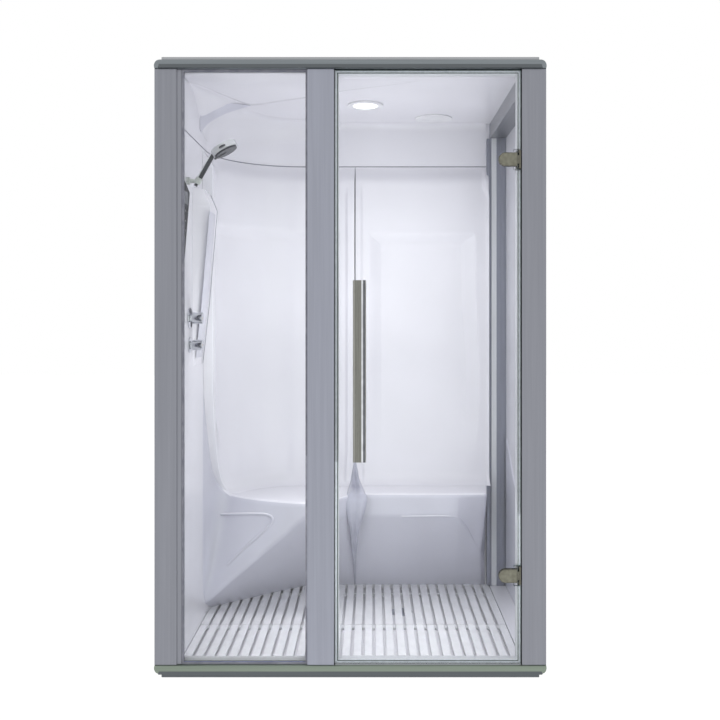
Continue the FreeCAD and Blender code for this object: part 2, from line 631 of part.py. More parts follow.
def shells():
    thick = size("shell_thick")
    seam_left = less(size("seam_x"), half(size("seam_gap")))
    seam_right = add(size("seam_x"), half(size("seam_gap")))
    left_shell = upright("left_shell_wall", SHELL_Z, wall_band("0", thick, seam_left, True))
    holes = [rod(f"{name}_wall_hole", "X", less(ROOM_LEFT, times(2, thick)), deep("tap_deep"),
                 size(level), size("wall_hole_radius"), times(3, thick))
             for name, level in (("thermostat", "thermostat_high"),
                                 ("diverter", "diverter_high"))]
    steam = rod("steam_wall_hole", "Y", STEAM_X, less(ROOM_BACK, thick), size("steam_high"),
                add(size("steam_pipe_radius"), size("steam_hole_gap")), times(3, thick))
    made(cut("left_back_shell", left_shell, *holes, steam), "left_back_shell")
    back = add(ROOM_BACK, thick)
    flange_back = add(back, size("flange_deep"))
    made(upright("right_back_shell", SHELL_Z, [
        (seam_right, ROOM_BACK), (ROOM_RIGHT, ROOM_BACK), (ROOM_RIGHT, back),
        (add(seam_right, thick), back), (add(seam_right, thick), flange_back),
        (seam_right, flange_back)]), "right_back_shell")
    seal = span("shell_joint_seal", (seam_left, seam_right), (ROOM_BACK, flange_back), SHELL_Z)
    made(seal, "shell_joint_seal")
    bolts = []
    bolt_y = less(flange_back, size("flange_bolt_edge"))
    bolt_room = less(SHELL_Z[1], size("flange_bolt_end"), size("flange_bolt_first"))
    bolt_pitch = f"{bolt_room} / {less(size('flange_bolt_count'), 1)}"
    for index in range(int(number(size("flange_bolt_count")))):
        level = add(size("flange_bolt_first"), times(index, bolt_pitch))
        for side, start in (("left", less(seam_left, thick, half(size("flange_bolt_long")))),
                            ("right", add(seam_right, thick))):
            bolts.append(rod(f"flange_{side}_{index}", "X", start, bolt_y, level,
                             size("flange_bolt_radius"), half(size("flange_bolt_long"))))
    made(group("flange_bolts", bolts), "flange_bolts")
    panel_x = (less(RIGHT, size("side_panel_off"), thick), less(RIGHT, size("side_panel_off")))
    made(span("right_side_shell", panel_x, (FRAME_BACK, POST_Y[0]), (TRAY_TOP, CEILING)),
         "right_side_shell")


POST_X = (ROOM_RIGHT, add(ROOM_RIGHT, size("post_wide")))
POST_Y = (less(REAR, size("post_deep")), REAR)
LEFT_POST_X = (LEFT, add(LEFT, size("left_post_wide")))
RAIL_Z = (less(CEILING, size("rail_high")), CEILING)


def rear_frame():
    wall = size("profile_wall")
    made(hollow_upright("right_rear_post", POST_X, POST_Y, (TRAY_TOP, CEILING)),
         "right_rear_post")
    left_y = (less(REAR, size("left_post_deep")), REAR)
    made(hollow_upright("left_rear_post", LEFT_POST_X, left_y, (TRAY_TOP, CEILING)),
         "left_rear_post")
    side_x = (POST_X[0], less(RIGHT, size("side_panel_off"), size("shell_thick")))
    made(hollow_rail("side_top_rail", "XZ", side_x, (FRAME_BACK, POST_Y[0]), wall),
         "side_top_rail")
    made(hollow_rail("left_top_rail", "XZ", LEFT_POST_X, (FRAME_BACK, left_y[0]), wall),
         "left_top_rail")
    rear_y = (add(ROOM_BACK, size("shell_thick")), REAR)
    made(hollow_rail("rear_top_rail", "YZ", rear_y, (LEFT_POST_X[1], POST_X[0]), wall),
         "rear_top_rail")


def hollow_rail(name, plane, across, along, wall):
    """A box section under the roof, along Y for plane XZ and along X for plane YZ."""
    start = f"-{along[1]}" if plane == "XZ" else along[0]
    return extrusion(name, plane, start, less(along[1], along[0]), rectangle(across, RAIL_Z),
                     rectangle(inset(across, wall), inset(RAIL_Z, wall)))


def roof():
    thick = size("shell_thick")
    upper_z = (SHELL_Z[1], CEILING)
    skirt = upright("roof_skirt", upper_z, wall_band("0", thick, ROOM_RIGHT, False))
    plate_x = (less(ROOM_LEFT, thick), less(RIGHT, size("side_panel_off")))
    plate = span("roof_plate", plate_x, (FRAME_BACK, add(ROOM_BACK, thick)),
                 (CEILING, add(CEILING, thick)))
    hole = add(size("can_radius"), size("can_hole_gap"))
    light = rod("light_hole", "Z", size("light_x"), deep("light_y"), CEILING, hole, thick)
    hole = add(size("speaker_can_radius"), size("can_hole_gap"))
    speaker = rod("speaker_hole", "Z", size("speaker_x"), deep("speaker_y"), CEILING, hole, thick)
    made(cut("roof_shell", fuse("roof_blank", skirt, plate), light, speaker), "roof_shell")


# ---------------------------------------------------------------- seats
def seat_moulding(name, front, stations):
    """A seat that is open at the back and below. Each station is x, crease and foot."""
    thick = size("shell_thick")
    top, below = size("seat_high"), less(TRAY_TOP, size("shell_thick"))
    behind = add(ROOM_BACK, thick)
    outer, inner = [], []
    last = len(stations) - 1
    for index, (x, crease, foot) in enumerate(stations):
        outer.append(("YZ", x, [(ROOM_BACK, TRAY_TOP), (ROOM_BACK, top), (front, top), crease,
                                foot]))
        inner_x = add(x, thick) if index == 0 else less(x, thick) if index == last else x
        inner.append(("YZ", inner_x, [
            (behind, below), (behind, less(top, thick)), (add(front, thick), less(top, thick)),
            (add(crease[0], thick), crease[1]), (add(foot[0], thick), below)]))
    return loft(name, outer, inner)


def seats():
    lean, seam_gap = size("crease_lean"), size("seat_seam_gap")
    foot = (less(ROOM_BACK, size("seat_foot_gap")), TRAY_TOP)
    # the left seat stands on the tray at the wall and overhangs towards the seam
    front = deep("left_seat_front")
    wall_crease = (deep("left_foot_deep"), size("left_foot_high"))
    wall_foot = (add(wall_crease[0], lean), TRAY_TOP)
    open_crease = (add(front, lean), size("crease_high"))
    end = less(size("seam_x"), seam_gap)
    moulding = seat_moulding("left_seat_moulding", front, [
        (ROOM_LEFT, wall_crease, wall_foot),
        (less(size("seam_x"), size("left_crease_off_seam")), open_crease, foot),
        (end, open_crease, foot)])
    room = upright("left_seat_room", (less(TRAY_TOP, size("shell_thick")), size("seat_high")), [
        (ROOM_LEFT, FRAME_BACK), (end, FRAME_BACK), (end, ROOM_BACK),
        (CORNER_X, ROOM_BACK, size("corner_radius"), "left"), (ROOM_LEFT, CORNER_Y)])
    nozzle = rod("nozzle_seat_hole", "Y", STEAM_X, front, size("steam_high"),
                 size("nozzle_radius"), less(ROOM_BACK, front))
    made(cut("left_seat", common("left_seat_trimmed", moulding, room), nozzle), "left_seat")
    # the right seat is shallower and its foot runs along the back wall
    front = deep("right_seat_front")
    open_crease = (add(front, lean), size("right_crease_high"))
    wall_crease = (deep("right_foot_deep"), size("right_foot_high"))
    made(seat_moulding("right_seat", front, [
        (add(size("seam_x"), seam_gap), open_crease, foot),
        (less(ROOM_RIGHT, size("right_crease_x")), open_crease, foot),
        (ROOM_RIGHT, wall_crease, foot)]), "right_seat")


# ---------------------------------------------------------------- tray, mats, drain and feet
def basin_plan(gap):
    """Plan of the space inside the walls, drawn a little smaller all round."""
    left, right = add(ROOM_LEFT, gap), less(ROOM_RIGHT, gap)
    back, near = less(ROOM_BACK, gap), add(FRAME_BACK, gap)
    return [(left, near), (right, near), (right, back),
            (CORNER_X, back, less(size("corner_radius"), gap), "left"), (left, CORNER_Y)]


TRAY_X = inset((LEFT, RIGHT), size("tray_side_gap"))
TRAY_Y = (FRAME_BACK, REAR)
WASTE_Z = size("waste_height")


def tray():
    floor = size("tray_floor_high")
    under = less(floor, size("tray_floor_thick"))
    skirt = size("tray_skirt")
    basin = upright("tray_basin", (floor, TRAY_TOP), basin_plan(size("basin_inset")))
    cavity = span("tray_cavity", inset(TRAY_X, skirt), inset(TRAY_Y, skirt), (SILL_UNDER, under))
    hole = rod("drain_hole", "Z", size("drain_x"), deep("drain_y"), under,
               size("drain_hole_radius"), size("tray_floor_thick"))
    clear = add(size("waste_spigot_radius"), size("waste_hole_gap"))
    waste = rod("waste_hole", "Y", size("drain_x"), less(REAR, times(2, skirt)), WASTE_Z, clear,
                times(2, skirt))
    waste_slot = span("waste_slot", (less(size("drain_x"), clear), add(size("drain_x"), clear)),
                      (less(REAR, skirt), REAR), (SILL_UNDER, WASTE_Z))
    made(cut("floor_tray", span("tray_block", TRAY_X, TRAY_Y, (SILL_UNDER, TRAY_TOP)),
             basin, cavity, hole, waste, waste_slot), "floor_tray")
    feet = []
    foot_x, foot_y = inset(TRAY_X, size("foot_inset")), inset(TRAY_Y, size("foot_inset"))
    for row, y in zip(("front", "rear"), foot_y):
        for side, x in zip(("left", "middle", "right"), (foot_x[0], half(add(*foot_x)), foot_x[1])):
            pad = rod(f"{row}_{side}_pad", "Z", x, y, GROUND, size("foot_radius"),
                      size("foot_thick"))
            stud = rod(f"{row}_{side}_stud", "Z", x, y, size("foot_thick"),
                       size("foot_stud_radius"), less(under, size("foot_thick")))
            feet.append(fuse(f"{row}_{side}_foot", pad, stud))
    made(group("levelling_feet", feet), "levelling_feet")
    drain(floor, under)


def drain(floor, under):
    """A flat trap under the tray with its waste pipe, and a slotted cover over the hole."""
    x, y = size("drain_x"), deep("drain_y")
    wall = size("trap_wall")
    low = less(WASTE_Z, size("waste_radius"), wall)
    cup = rod("trap_cup", "Z", x, y, low, size("trap_radius"), less(under, low))
    well = rod("trap_well", "Z", x, y, add(low, wall), size("drain_hole_radius"), under)
    waste = rod("waste_pipe", "Y", x, y, WASTE_Z, size("waste_radius"), less(REAR, y))
    spigot = rod("waste_spigot", "Y", x, less(REAR, size("waste_spigot_long")), WASTE_Z,
                 size("waste_spigot_radius"), size("waste_spigot_long"))
    bore = rod("waste_bore", "Y", x, y, WASTE_Z, less(size("waste_radius"), size("waste_wall")),
               less(REAR, y))
    made(cut("drain_trap", fuse("trap_blank", cup, waste, spigot), well, bore), "drain_trap")
    cover_z = (floor, add(floor, size("drain_cover_thick")))
    cover = rod("cover_disc", "Z", x, y, floor, size("drain_cover_radius"),
                size("drain_cover_thick"))
    slot_y = (less(y, size("drain_slot_half")), add(y, size("drain_slot_half")))
    slots = []
    for index in range(-2, 3):
        start = less(add(x, times(index, size("drain_slot_pitch"))), half(size("drain_slot")))
        slots.append(span(f"cover_slot_{index + 2}", (start, add(start, size("drain_slot"))),
                          slot_y, cover_z))
    made(cut("drain_cover", cover, *slots), "drain_cover")


def mats():
    """Slats that run from front to back, joined by cross-bars underneath."""
    floor = size("tray_floor_high")
    slat_z = (less(TRAY_TOP, size("slat_thick")), TRAY_TOP)
    bar_z = (floor, slat_z[0])
    gap = size("mat_gap")
    near = add(FRAME_BACK, size("basin_inset"), gap)
    far = less(ROOM_BACK, size("basin_inset"), gap)
    split = deep("mat_split")
    left, right = inset((ROOM_LEFT, ROOM_RIGHT), add(size("basin_inset"), gap))
    pitch = f"{less(right, left, size('slat_wide'))} / {less(size('slat_count'), 1)}"
    bar = size("cross_bar_wide")
    mats_y = {"front": (near, less(split, half(gap))), "rear": (add(split, half(gap)), far)}
    bar_y = {"front": [add(near, size("mat_end")), less(split, half(gap), bar)],
             "rear": [add(split, half(gap)), deep("rear_cross_bar")]}
    for name, y in mats_y.items():
        slats = []
        for index in range(int(number(size("slat_count")))):
            start = add(left, times(index, pitch))
            slats.append(span(f"{name}_slat_{index}", (start, add(start, size("slat_wide"))), y,
                              slat_z))
        bars = [span(f"{name}_bar_{index}", (left, right), (at, add(at, bar)), bar_z)
                for index, at in enumerate(bar_y[name])]
        mat = fuse(f"{name}_mat", *slats, *bars)
        if name == "rear":
            plan = upright("rear_mat_plan", (floor, TRAY_TOP),
                           basin_plan(add(size("basin_inset"), gap)))
            mat = common("rear_mat_trimmed", mat, plan)
        made(mat, f"{name}_floor_mat")


# ---------------------------------------------------------------- console, panel and taps
def console():
    near, far, slope = deep("console_near"), deep("console_far"), size("console_slope")
    sections = []
    for level, bulge in (("console_low", "bulge_low"), ("console_waist", "bulge_waist"),
                         ("console_peak", "bulge_peak"), ("console_top", "bulge_top")):
        crest = add(ROOM_LEFT, size(bulge))
        sections.append(("XY", size(level), [
            (ROOM_LEFT, near), (crest, add(near, slope)), (crest, less(far, slope)),
            (ROOM_LEFT, far)]))
    made(loft("wall_console", sections), "wall_console")
    near, far = deep("panel_near"), deep("panel_far")
    made(extrusion("control_panel", "YZ", ROOM_LEFT, size("panel_thick"), [
        (near, size("panel_low")), (add(near, size("panel_tip")), size("panel_low")),
        (far, size("panel_rear_top")), (near, size("panel_front_top"))]), "control_panel")


TAPS = {"thermostat": ("thermostat_high", "thermostat_plate_radius", "knob_radius"),
        "diverter": ("diverter_high", "diverter_plate_radius", "diverter_knob_radius")}


def taps():
    y = deep("tap_deep")
    outer = less(ROOM_LEFT, size("shell_thick"))
    plate_front = add(ROOM_LEFT, size("tap_plate_thick"))
    knob_start = add(plate_front, size("end_gap"))
    spindle_start = less(outer, size("valve_deep"))
    spindle_end = add(spindle_start, size("spindle_long"))
    plates, spindles = [], []
    for name, (level, plate_radius, knob_radius) in TAPS.items():
        z = size(level)
        plates.append(cut(name + "_plate",
                          rod(name + "_disc", "X", ROOM_LEFT, y, z, size(plate_radius),
                              size("tap_plate_thick")),
                          rod(name + "_disc_hole", "X", ROOM_LEFT, y, z, size("wall_hole_radius"),
                              size("tap_plate_thick"))))
        body_start = add(knob_start, size("neck_long"))
        knob = fuse(name + "_knob_blank",
                    rod(name + "_neck", "X", knob_start, y, z, size("neck_radius"),
                        size("neck_long")),
                    rod(name + "_grip", "X", body_start, y, z, size(knob_radius),
                        size("knob_long")))
        bore = rod(name + "_knob_bore", "X", knob_start, y, z,
                   add(size("spindle_radius"), size("running_gap")),
                   add(less(spindle_end, knob_start), size("end_gap")))
        made(cut(name + "_knob", knob, bore), name + "_knob")
        spindles.append(rod(name + "_spindle", "X", spindle_start, y, z, size("spindle_radius"),
                            size("spindle_long")))
    made(group("tap_wall_plates", plates), "tap_wall_plates")
    body_x = (less(outer, size("valve_deep")), outer)
    body_y = (less(y, half(size("valve_wide"))), add(y, half(size("valve_wide"))))
    body_z = (less(size("diverter_high"), size("valve_margin")),
              add(size("thermostat_high"), size("valve_margin")))
    body = span("valve_body", body_x, body_y, body_z)
    made(fuse("mixer_valve", body, *spindles), "mixer_valve")
    pipe_x = less(outer, size("pipe_off_shell"), size("pipe_radius"))
    pipe_end = less(REAR, size("pipe_end_off"))
    runs = []
    for name, level in (("hot", "hot_high"), ("cold", "cold_high")):
        run = rod(name + "_run", "Y", pipe_x, body_y[1], size(level), size("pipe_radius"),
                  less(pipe_end, body_y[1]))
        union = rod(name + "_union", "Y", pipe_x, less(pipe_end, size("union_long")), size(level),
                    size("union_radius"), size("union_long"))
        runs.append(fuse(name + "_pipe", run, union))
    riser = rod("shower_riser", "Z", pipe_x, y, body_z[1], size("riser_radius"),
                less(size("holder_high"), body_z[1]))
    made(group("water_pipes", [*runs, riser]), "water_pipes")


# ---------------------------------------------------------------- hand shower
def shower():
    y = deep("shower_deep")
    z = size("holder_high")
    tilt = size("grip_tilt")
    along = (f"cos({tilt} * 1deg)", f"sin({tilt} * 1deg)")
    base_end = add(ROOM_LEFT, size("holder_base_long"))
    socket = rod("holder_socket_bore", "X", less(base_end, size("pivot_long")), y, z,
                 add(size("pivot_radius"), size("running_gap")), size("pivot_long"))
    made(cut("shower_holder_base", rod("holder_rosette", "X", ROOM_LEFT, y, z,
                                       size("holder_radius"), size("holder_base_long")), socket),
         "shower_holder_base")
    ring_x = add(ROOM_LEFT, size("ring_off_wall"))

    def on_axis(distance):
        return (add(ring_x, times(along[0], distance)), y, add(z, times(along[1], distance)))

    ring_low = times(-0.5, size("ring_long"))
    bore_radius = add(size("tail_radius"), size("end_gap"))
    arm = fuse("holder_arm",
               rod("holder_pivot", "X", add(less(base_end, size("pivot_long")), size("end_gap")),
                   y, z, size("pivot_radius"), size("pivot_long")),
               rod("holder_neck", "X", add(base_end, size("end_gap")), y, z, size("arm_radius"),
                   less(ring_x, base_end)),
               tilted_rod("holder_ring", tilt, on_axis(ring_low), size("ring_radius"),
                          size("ring_long")))
    bore = tilted_rod("holder_bore", tilt, on_axis(times(2, ring_low)), bore_radius,
                      times(2, size("ring_long")))
    made(cut("shower_holder", arm, bore), "shower_holder")
    shoulder = add(half(size("ring_long")), size("end_gap"))
    tail_start = less(shoulder, size("tail_long"))
    grip_top = add(shoulder, size("grip_long"))
    head_tilt = size("head_tilt")
    lean = (f"cos({head_tilt} * 1deg)", f"sin({head_tilt} * 1deg)")
    top = on_axis(grip_top)
    head_x = add(top[0], times(lean[0], size("head_radius")))
    head_z = add(top[2], times(lean[1], size("head_radius")))

    def on_head(distance):
        """A point on the spray's own axis, which points down and away from the wall."""
        return (add(head_x, times(lean[1], distance)), y, less(head_z, times(lean[0], distance)))

    down = less(head_tilt, 90)
    head_start = times(-0.5, size("head_thick"))
    head_end = half(size("head_thick"))
    grip = fuse("hand_shower_blank",
                tilted_rod("shower_nut", tilt, on_axis(less(tail_start, size("nut_long"))),
                           size("nut_radius"), size("nut_long")),
                tilted_rod("shower_tail", tilt, on_axis(tail_start), size("tail_radius"),
                           size("tail_long")),
                tilted_rod("shower_grip", tilt, on_axis(shoulder), size("grip_radius"),
                           size("grip_long")),
                tilted_rod("shower_head", down, on_head(head_start), size("head_radius"),
                           size("head_thick")))
    pin_seat = tilted_rod("spray_pin_seat", down, on_head(less(head_end, size("spray_pin_long"))),
                          add(size("spray_pin_radius"), size("running_gap")),
                          size("spray_pin_long"))
    made(cut("hand_shower", grip, pin_seat), "hand_shower")
    face_start = add(head_end, size("end_gap"))
    pin_start = add(less(head_end, size("spray_pin_long")), size("end_gap"))
    tab = block("spray_tab", "0", times(-0.5, size("tab_wide")), "0",
                add(size("spray_radius"), size("tab_reach")), size("tab_wide"), size("tab_thick"))
    tab.Placement = FreeCAD.Placement(Vector(), FreeCAD.Rotation(Vector(0, 1, 0), 45))
    bind(tab, Placement__Rotation__Angle=less(180, head_tilt))
    tab_x, tab_y, tab_z = on_head(add(face_start, size("tab_thick")))
    place(tab, tab_x, less(tab_y, half(size("tab_wide"))), tab_z)
    face = fuse("spray_face",
                tilted_rod("spray_disc", down, on_head(face_start), size("spray_radius"),
                           size("spray_thick")),
                tilted_rod("spray_pin", down, on_head(pin_start), size("spray_pin_radius"),
                           add(less(face_start, pin_start), half(size("spray_thick")))), tab)
    made(face, "spray_face")


# ---------------------------------------------------------------- ceiling fittings
def ceiling_fittings():
    x, y = size("light_x"), deep("light_y")
    low = less(CEILING, size("bezel_thick"))
    flange = rod("light_flange", "Z", x, y, low, size("bezel_radius"), size("bezel_thick"))
    can = rod("light_can", "Z", x, y, CEILING, size("can_radius"), size("can_high"))
    well = rod("light_well", "Z", x, y, low, size("lens_radius"),
               add(size("bezel_thick"), size("can_high"), f"-{size('can_wall')}"))
    made(cut("downlight_body", fuse("light_blank", flange, can), well), "downlight_body")
    made(rod("downlight_lens", "Z", x, y, less(CEILING, size("lens_thick")), size("lens_radius"),
             size("lens_thick")), "downlight_lens")
    x, y = size("speaker_x"), deep("speaker_y")
    grille = rod("speaker_grille", "Z", x, y, less(CEILING, size("grille_thick")),
                 size("grille_radius"), size("grille_thick"))
    can = rod("speaker_can", "Z", x, y, CEILING, size("speaker_can_radius"), size("can_high"))
    made(fuse("ceiling_speaker", grille, can), "ceiling_speaker")


# ---------------------------------------------------------------- steam generator
def steam_generator():
    x, y = add(LEFT, size("tank_side_off")), less(REAR, size("tank_rear_off"))
    tank_low = add(TRAY_TOP, size("tank_stand_high"))
    tank_top = add(tank_low, size("tank_high"))
    wall = size("tank_wall")
    stand = rod("tank_stand", "Z", x, y, TRAY_TOP, size("stand_radius"), size("tank_stand_high"))
    barrel = rod("tank_barrel", "Z", x, y, tank_low, size("tank_radius"), size("tank_high"))
    inside = rod("tank_inside", "Z", x, y, add(tank_low, wall), less(size("tank_radius"), wall),
                 size("tank_high"))
    under = rod("stand_inside", "Z", x, y, TRAY_TOP, less(size("stand_radius"), wall),
                size("tank_stand_high"))
    made(cut("steam_tank", fuse("tank_blank", stand, barrel), inside, under), "steam_tank")
    spread = half(size("heater_spread"))
    leg_x = {"left": less(x, spread), "right": add(x, spread)}
    heater_low = less(tank_top, size("heater_long"))
    legs = [rod(f"heater_{side}", "Z", at, y, heater_low, size("heater_radius"),
                add(size("heater_long"), size("lid_thick"))) for side, at in leg_x.items()]
    lid_holes = [rod(f"lid_{side}_hole", "Z", at, y, tank_top, size("heater_radius"),
                     size("lid_thick")) for side, at in leg_x.items()]
    lid_top = add(tank_top, size("lid_thick"))
    made(cut("tank_lid", rod("lid_disc", "Z", x, y, tank_top, size("lid_radius"),
                             size("lid_thick")), *lid_holes), "tank_lid")
    bridge = rod("heater_bridge", "X", leg_x["left"], y, add(heater_low, size("heater_radius")),
                 size("heater_radius"), size("heater_spread"))
    cap = rod("heater_cap", "Z", x, y, lid_top, size("heater_cap_radius"), size("heater_cap_high"))
    made(fuse("heating_element", *legs, bridge, cap), "heating_element")
    wide, level = size("fill_valve_wide"), size("fill_valve_level")
    valve_x = less(x, size("fill_valve_off"))
    valve_back = less(y, size("tank_radius"), size("fill_spigot_long"))
    spigot = rod("fill_spigot", "Y", valve_x, valve_back, level, size("fill_spigot_radius"),
                 add(size("tank_radius"), size("fill_spigot_long")))
    body = block("fill_body", less(valve_x, half(wide)), less(valve_back, wide),
                 less(level, half(wide)), wide, wide, size("fill_valve_high"))
    tank_space = rod("fill_tank_space", "Z", x, y, tank_low, size("tank_radius"),
                     size("tank_high"))
    made(cut("fill_valve", fuse("fill_valve_blank", spigot, body), tank_space), "fill_valve")
    return add(x, size("steam_outlet_off")), y, lid_top


def steam_line(outlet_x, outlet_y, outlet_z):
    line_z = add(outlet_z, size("steam_rise"))
    back_y = less(REAR, size("steam_line_off"))
    nozzle_back = add(deep("nozzle_deep"), size("nozzle_long"))
    points = [(outlet_x, outlet_y, outlet_z), (outlet_x, outlet_y, line_z),
              (outlet_x, back_y, line_z), (STEAM_X, back_y, line_z),
              (STEAM_X, back_y, size("steam_high")), (STEAM_X, nozzle_back, size("steam_high"))]
    tube = pipe("steam_pipe", points, number(size("steam_pipe_radius")),
                number(size("steam_bend")))
    made(tube, "steam_pipe")
    made(rod("steam_nozzle", "Y", STEAM_X, deep("nozzle_deep"), size("steam_high"),
             size("nozzle_radius"), size("nozzle_long")), "steam_nozzle")
    box_x = less(size("seam_x"), size("control_box_off_seam"))
    box_y = add(ROOM_BACK, size("shell_thick"))
    made(block("control_box", less(box_x, half(size("control_box_wide"))), box_y,
               less(SHELL_Z[1], size("control_box_drop")), size("control_box_wide"),
               size("control_box_deep"),
               size("control_box_high")), "control_box")


# ---------------------------------------------------------------- build and write
front_frame()
fixed_pane()
stop_frame()
door_glass()
hinges()
handles()
shells()
rear_frame()
roof()
seats()
tray()
mats()
console()
taps()
shower()
ceiling_fittings()
steam_line(*steam_generator())
doc.recompute()

broken = [obj.Name for obj in doc.Objects
          if {"Invalid", "Error"} & set(obj.State)]
if broken:
    raise RuntimeError("features failed: " + ", ".join(broken))
os.makedirs("parts", exist_ok=True)
for obj in nodes:
    if obj.Shape.isNull() or not obj.Shape.isValid() or not obj.Shape.Solids:
        raise RuntimeError("no valid solid in " + obj.Label)
    obj.Shape.exportStep(f"parts/{obj.Label}.step")
print(len(nodes), "sub-parts written")
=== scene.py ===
"""Steam shower cabin: an aluminium front frame with a fixed pane and a hinged glass door, white
moulded walls with two seats, slatted mats, taps, a hand shower and the plant behind it.

Sizes are written in millimetres and turned to metres where a mesh is made. X is to the right,
the front looks along -Y and +Z is up.
"""

import math

import bmesh
import bpy
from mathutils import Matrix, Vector


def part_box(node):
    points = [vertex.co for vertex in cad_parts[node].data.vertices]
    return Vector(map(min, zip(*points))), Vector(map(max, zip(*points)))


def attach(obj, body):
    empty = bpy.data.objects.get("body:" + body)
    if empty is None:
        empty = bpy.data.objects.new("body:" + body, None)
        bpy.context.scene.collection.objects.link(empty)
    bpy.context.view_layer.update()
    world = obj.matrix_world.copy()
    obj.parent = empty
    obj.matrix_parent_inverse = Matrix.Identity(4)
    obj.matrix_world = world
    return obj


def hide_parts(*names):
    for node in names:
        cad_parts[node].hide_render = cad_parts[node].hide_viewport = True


bl_info = {
    "name": "Steam Shower Cabin",
    "version": (1, 0, 0),
    "blender": (4, 5, 0),
    "location": "View3D > Sidebar > Cabin",
    "description": "Builds a steam shower cabin with a glass front, seats and fittings",
    "category": "Add Mesh",
}

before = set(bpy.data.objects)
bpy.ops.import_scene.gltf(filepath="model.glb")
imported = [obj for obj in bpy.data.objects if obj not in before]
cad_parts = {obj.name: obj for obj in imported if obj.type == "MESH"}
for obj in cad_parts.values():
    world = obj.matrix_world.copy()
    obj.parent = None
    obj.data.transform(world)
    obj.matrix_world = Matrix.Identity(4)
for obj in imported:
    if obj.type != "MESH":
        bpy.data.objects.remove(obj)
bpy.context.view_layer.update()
MM = 0.001


def linear(code):
    """A colour written as sRGB hex, as the linear value with alpha that shaders take."""
    parts = [int(code[i:i + 2], 16) / 255 for i in (1, 3, 5)]
    return (*(c / 12.92 if c <= 0.04045 else ((c + 0.055) / 1.055) ** 2.4 for c in parts), 1.0)


# ---------------------------------------------------------------- sizes and colours to change
def length(name, description, default):
    """A length that a user can change, its default given in millimetres."""
    return bpy.props.FloatProperty(name=name, description=description, default=default * MM,
                                   min=0.0, unit="LENGTH", precision=4)


def shade(name, description, code):
    """A colour that a user can change, its default given as sRGB hex."""
    return bpy.props.FloatVectorProperty(name=name, description=description, size=4,
                                         subtype="COLOR", min=0, max=1, default=linear(code))


class CabinSizes(bpy.types.PropertyGroup):
    """Sizes of the visible detail that the solids leave plain."""
    rim: length("Backrest rim", "How far the rim round a backrest stands off the wall", 14)
    recess: length("Backrest recess", "How deep the inner panel of a backrest lies", 34)
    arris: length("Glass arris", "Ground edge of the glass panes", 0.9)
    profile_edge: length("Profile edge", "Rounding of the aluminium profiles", 1.6)
    seat_edge: length("Seat edge", "Rounding of the front edge of the seats", 14)
    slat_edge: length("Slat edge", "Rounding along the slats of the floor mats", 2.4)
    panel_edge: length("Cover edge", "Rounding of covers and boxes behind the cabin", 3)


class CabinColours(bpy.types.PropertyGroup):
    """The colours that set the look of the cabin."""
    aluminium: shade("Aluminium", "Satin anodised stiles", "#91939B")
    mullion: shade("Mullion", "Satin anodised mullion between the panes", "#A0A3AF")
    rails: shade("Rails", "Rounded rails across the top and the bottom", "#858B8F")
    trim: shade("Trim", "Cap strip, base strip and door rebate", "#A9ABAE")
    acrylic: shade("Acrylic", "Moulded walls, roof and seat tops", "#ECEBF1")
    painted_front_shade: shade("Seat fronts", "Greyer acrylic of the seat fronts", "#D3D3DE")
    # Painted shade: this greyer colour stands for the shade on the seat fronts and other faces
    # turned from the light.
    mats: shade("Mats", "Floor mats", "#E9E9ED")
    hinges: shade("Hinges", "Aged nickel hinges", "#6F6E64")
    handle: shade("Handle", "Brushed stainless handle", "#85857F")
    panel: shade("Control panel", "Face of the control panel", "#2E3035")


# ---------------------------------------------------------------- materials
def add_node(tree, kind, settings=None, links=None):
    """A shader node with its settings, and a value or another node's socket for each input."""
    node = tree.nodes.new("ShaderNode" + kind)
    for name, value in (settings or {}).items():
        setattr(node, name, value)
    for socket, value in (links or {}).items():
        if isinstance(value, bpy.types.NodeSocket):
            tree.links.new(value, node.inputs[socket])
        else:
            node.inputs[socket].default_value = value
    return node


def blank_material(name):
    """A new material with no nodes, and its node tree."""
    material = bpy.data.materials.new(name)
    material.use_nodes = True
    material.node_tree.nodes.clear()
    return material, material.node_tree


# Lines are drawn out this many times longer than they are wide.
DRAWN_OUT = 60
# Between these values lies most of a noise field, for the clouds and for the finer grain.
CLOUD_REACH = {"From Min": 0.35, "From Max": 0.65}
GRAIN_REACH = {"From Min": 0.3, "From Max": 0.7}
BUMP_STRENGTH = 0.3
# The Mix node's colour sockets share their names with others, so they are told by number.
MIX_SHARE, MIX_FIRST, MIX_SECOND, MIX_RESULT = 0, 6, 7, 2


def patterns(tree, sizes_mm, along=None):
    """Noise patterns on Object coordinates, one for each lump size. Where an axis is named the
    lumps are drawn out along it, as die lines and brush marks are."""
    place = add_node(tree, "TexCoord").outputs["Object"]
    fields = []
    for size in sizes_mm:
        scale = [1 / (size * MM * (DRAWN_OUT if axis == along else 1)) for axis in "XYZ"]
        spot = add_node(tree, "Mapping", None, {"Vector": place, "Scale": scale})
        noise = add_node(tree, "TexNoise", None, {"Vector": spot.outputs[0], "Scale": 1.0,
                                                  "Detail": 3.0})
        fields.append(noise.outputs["Fac"])
    return fields


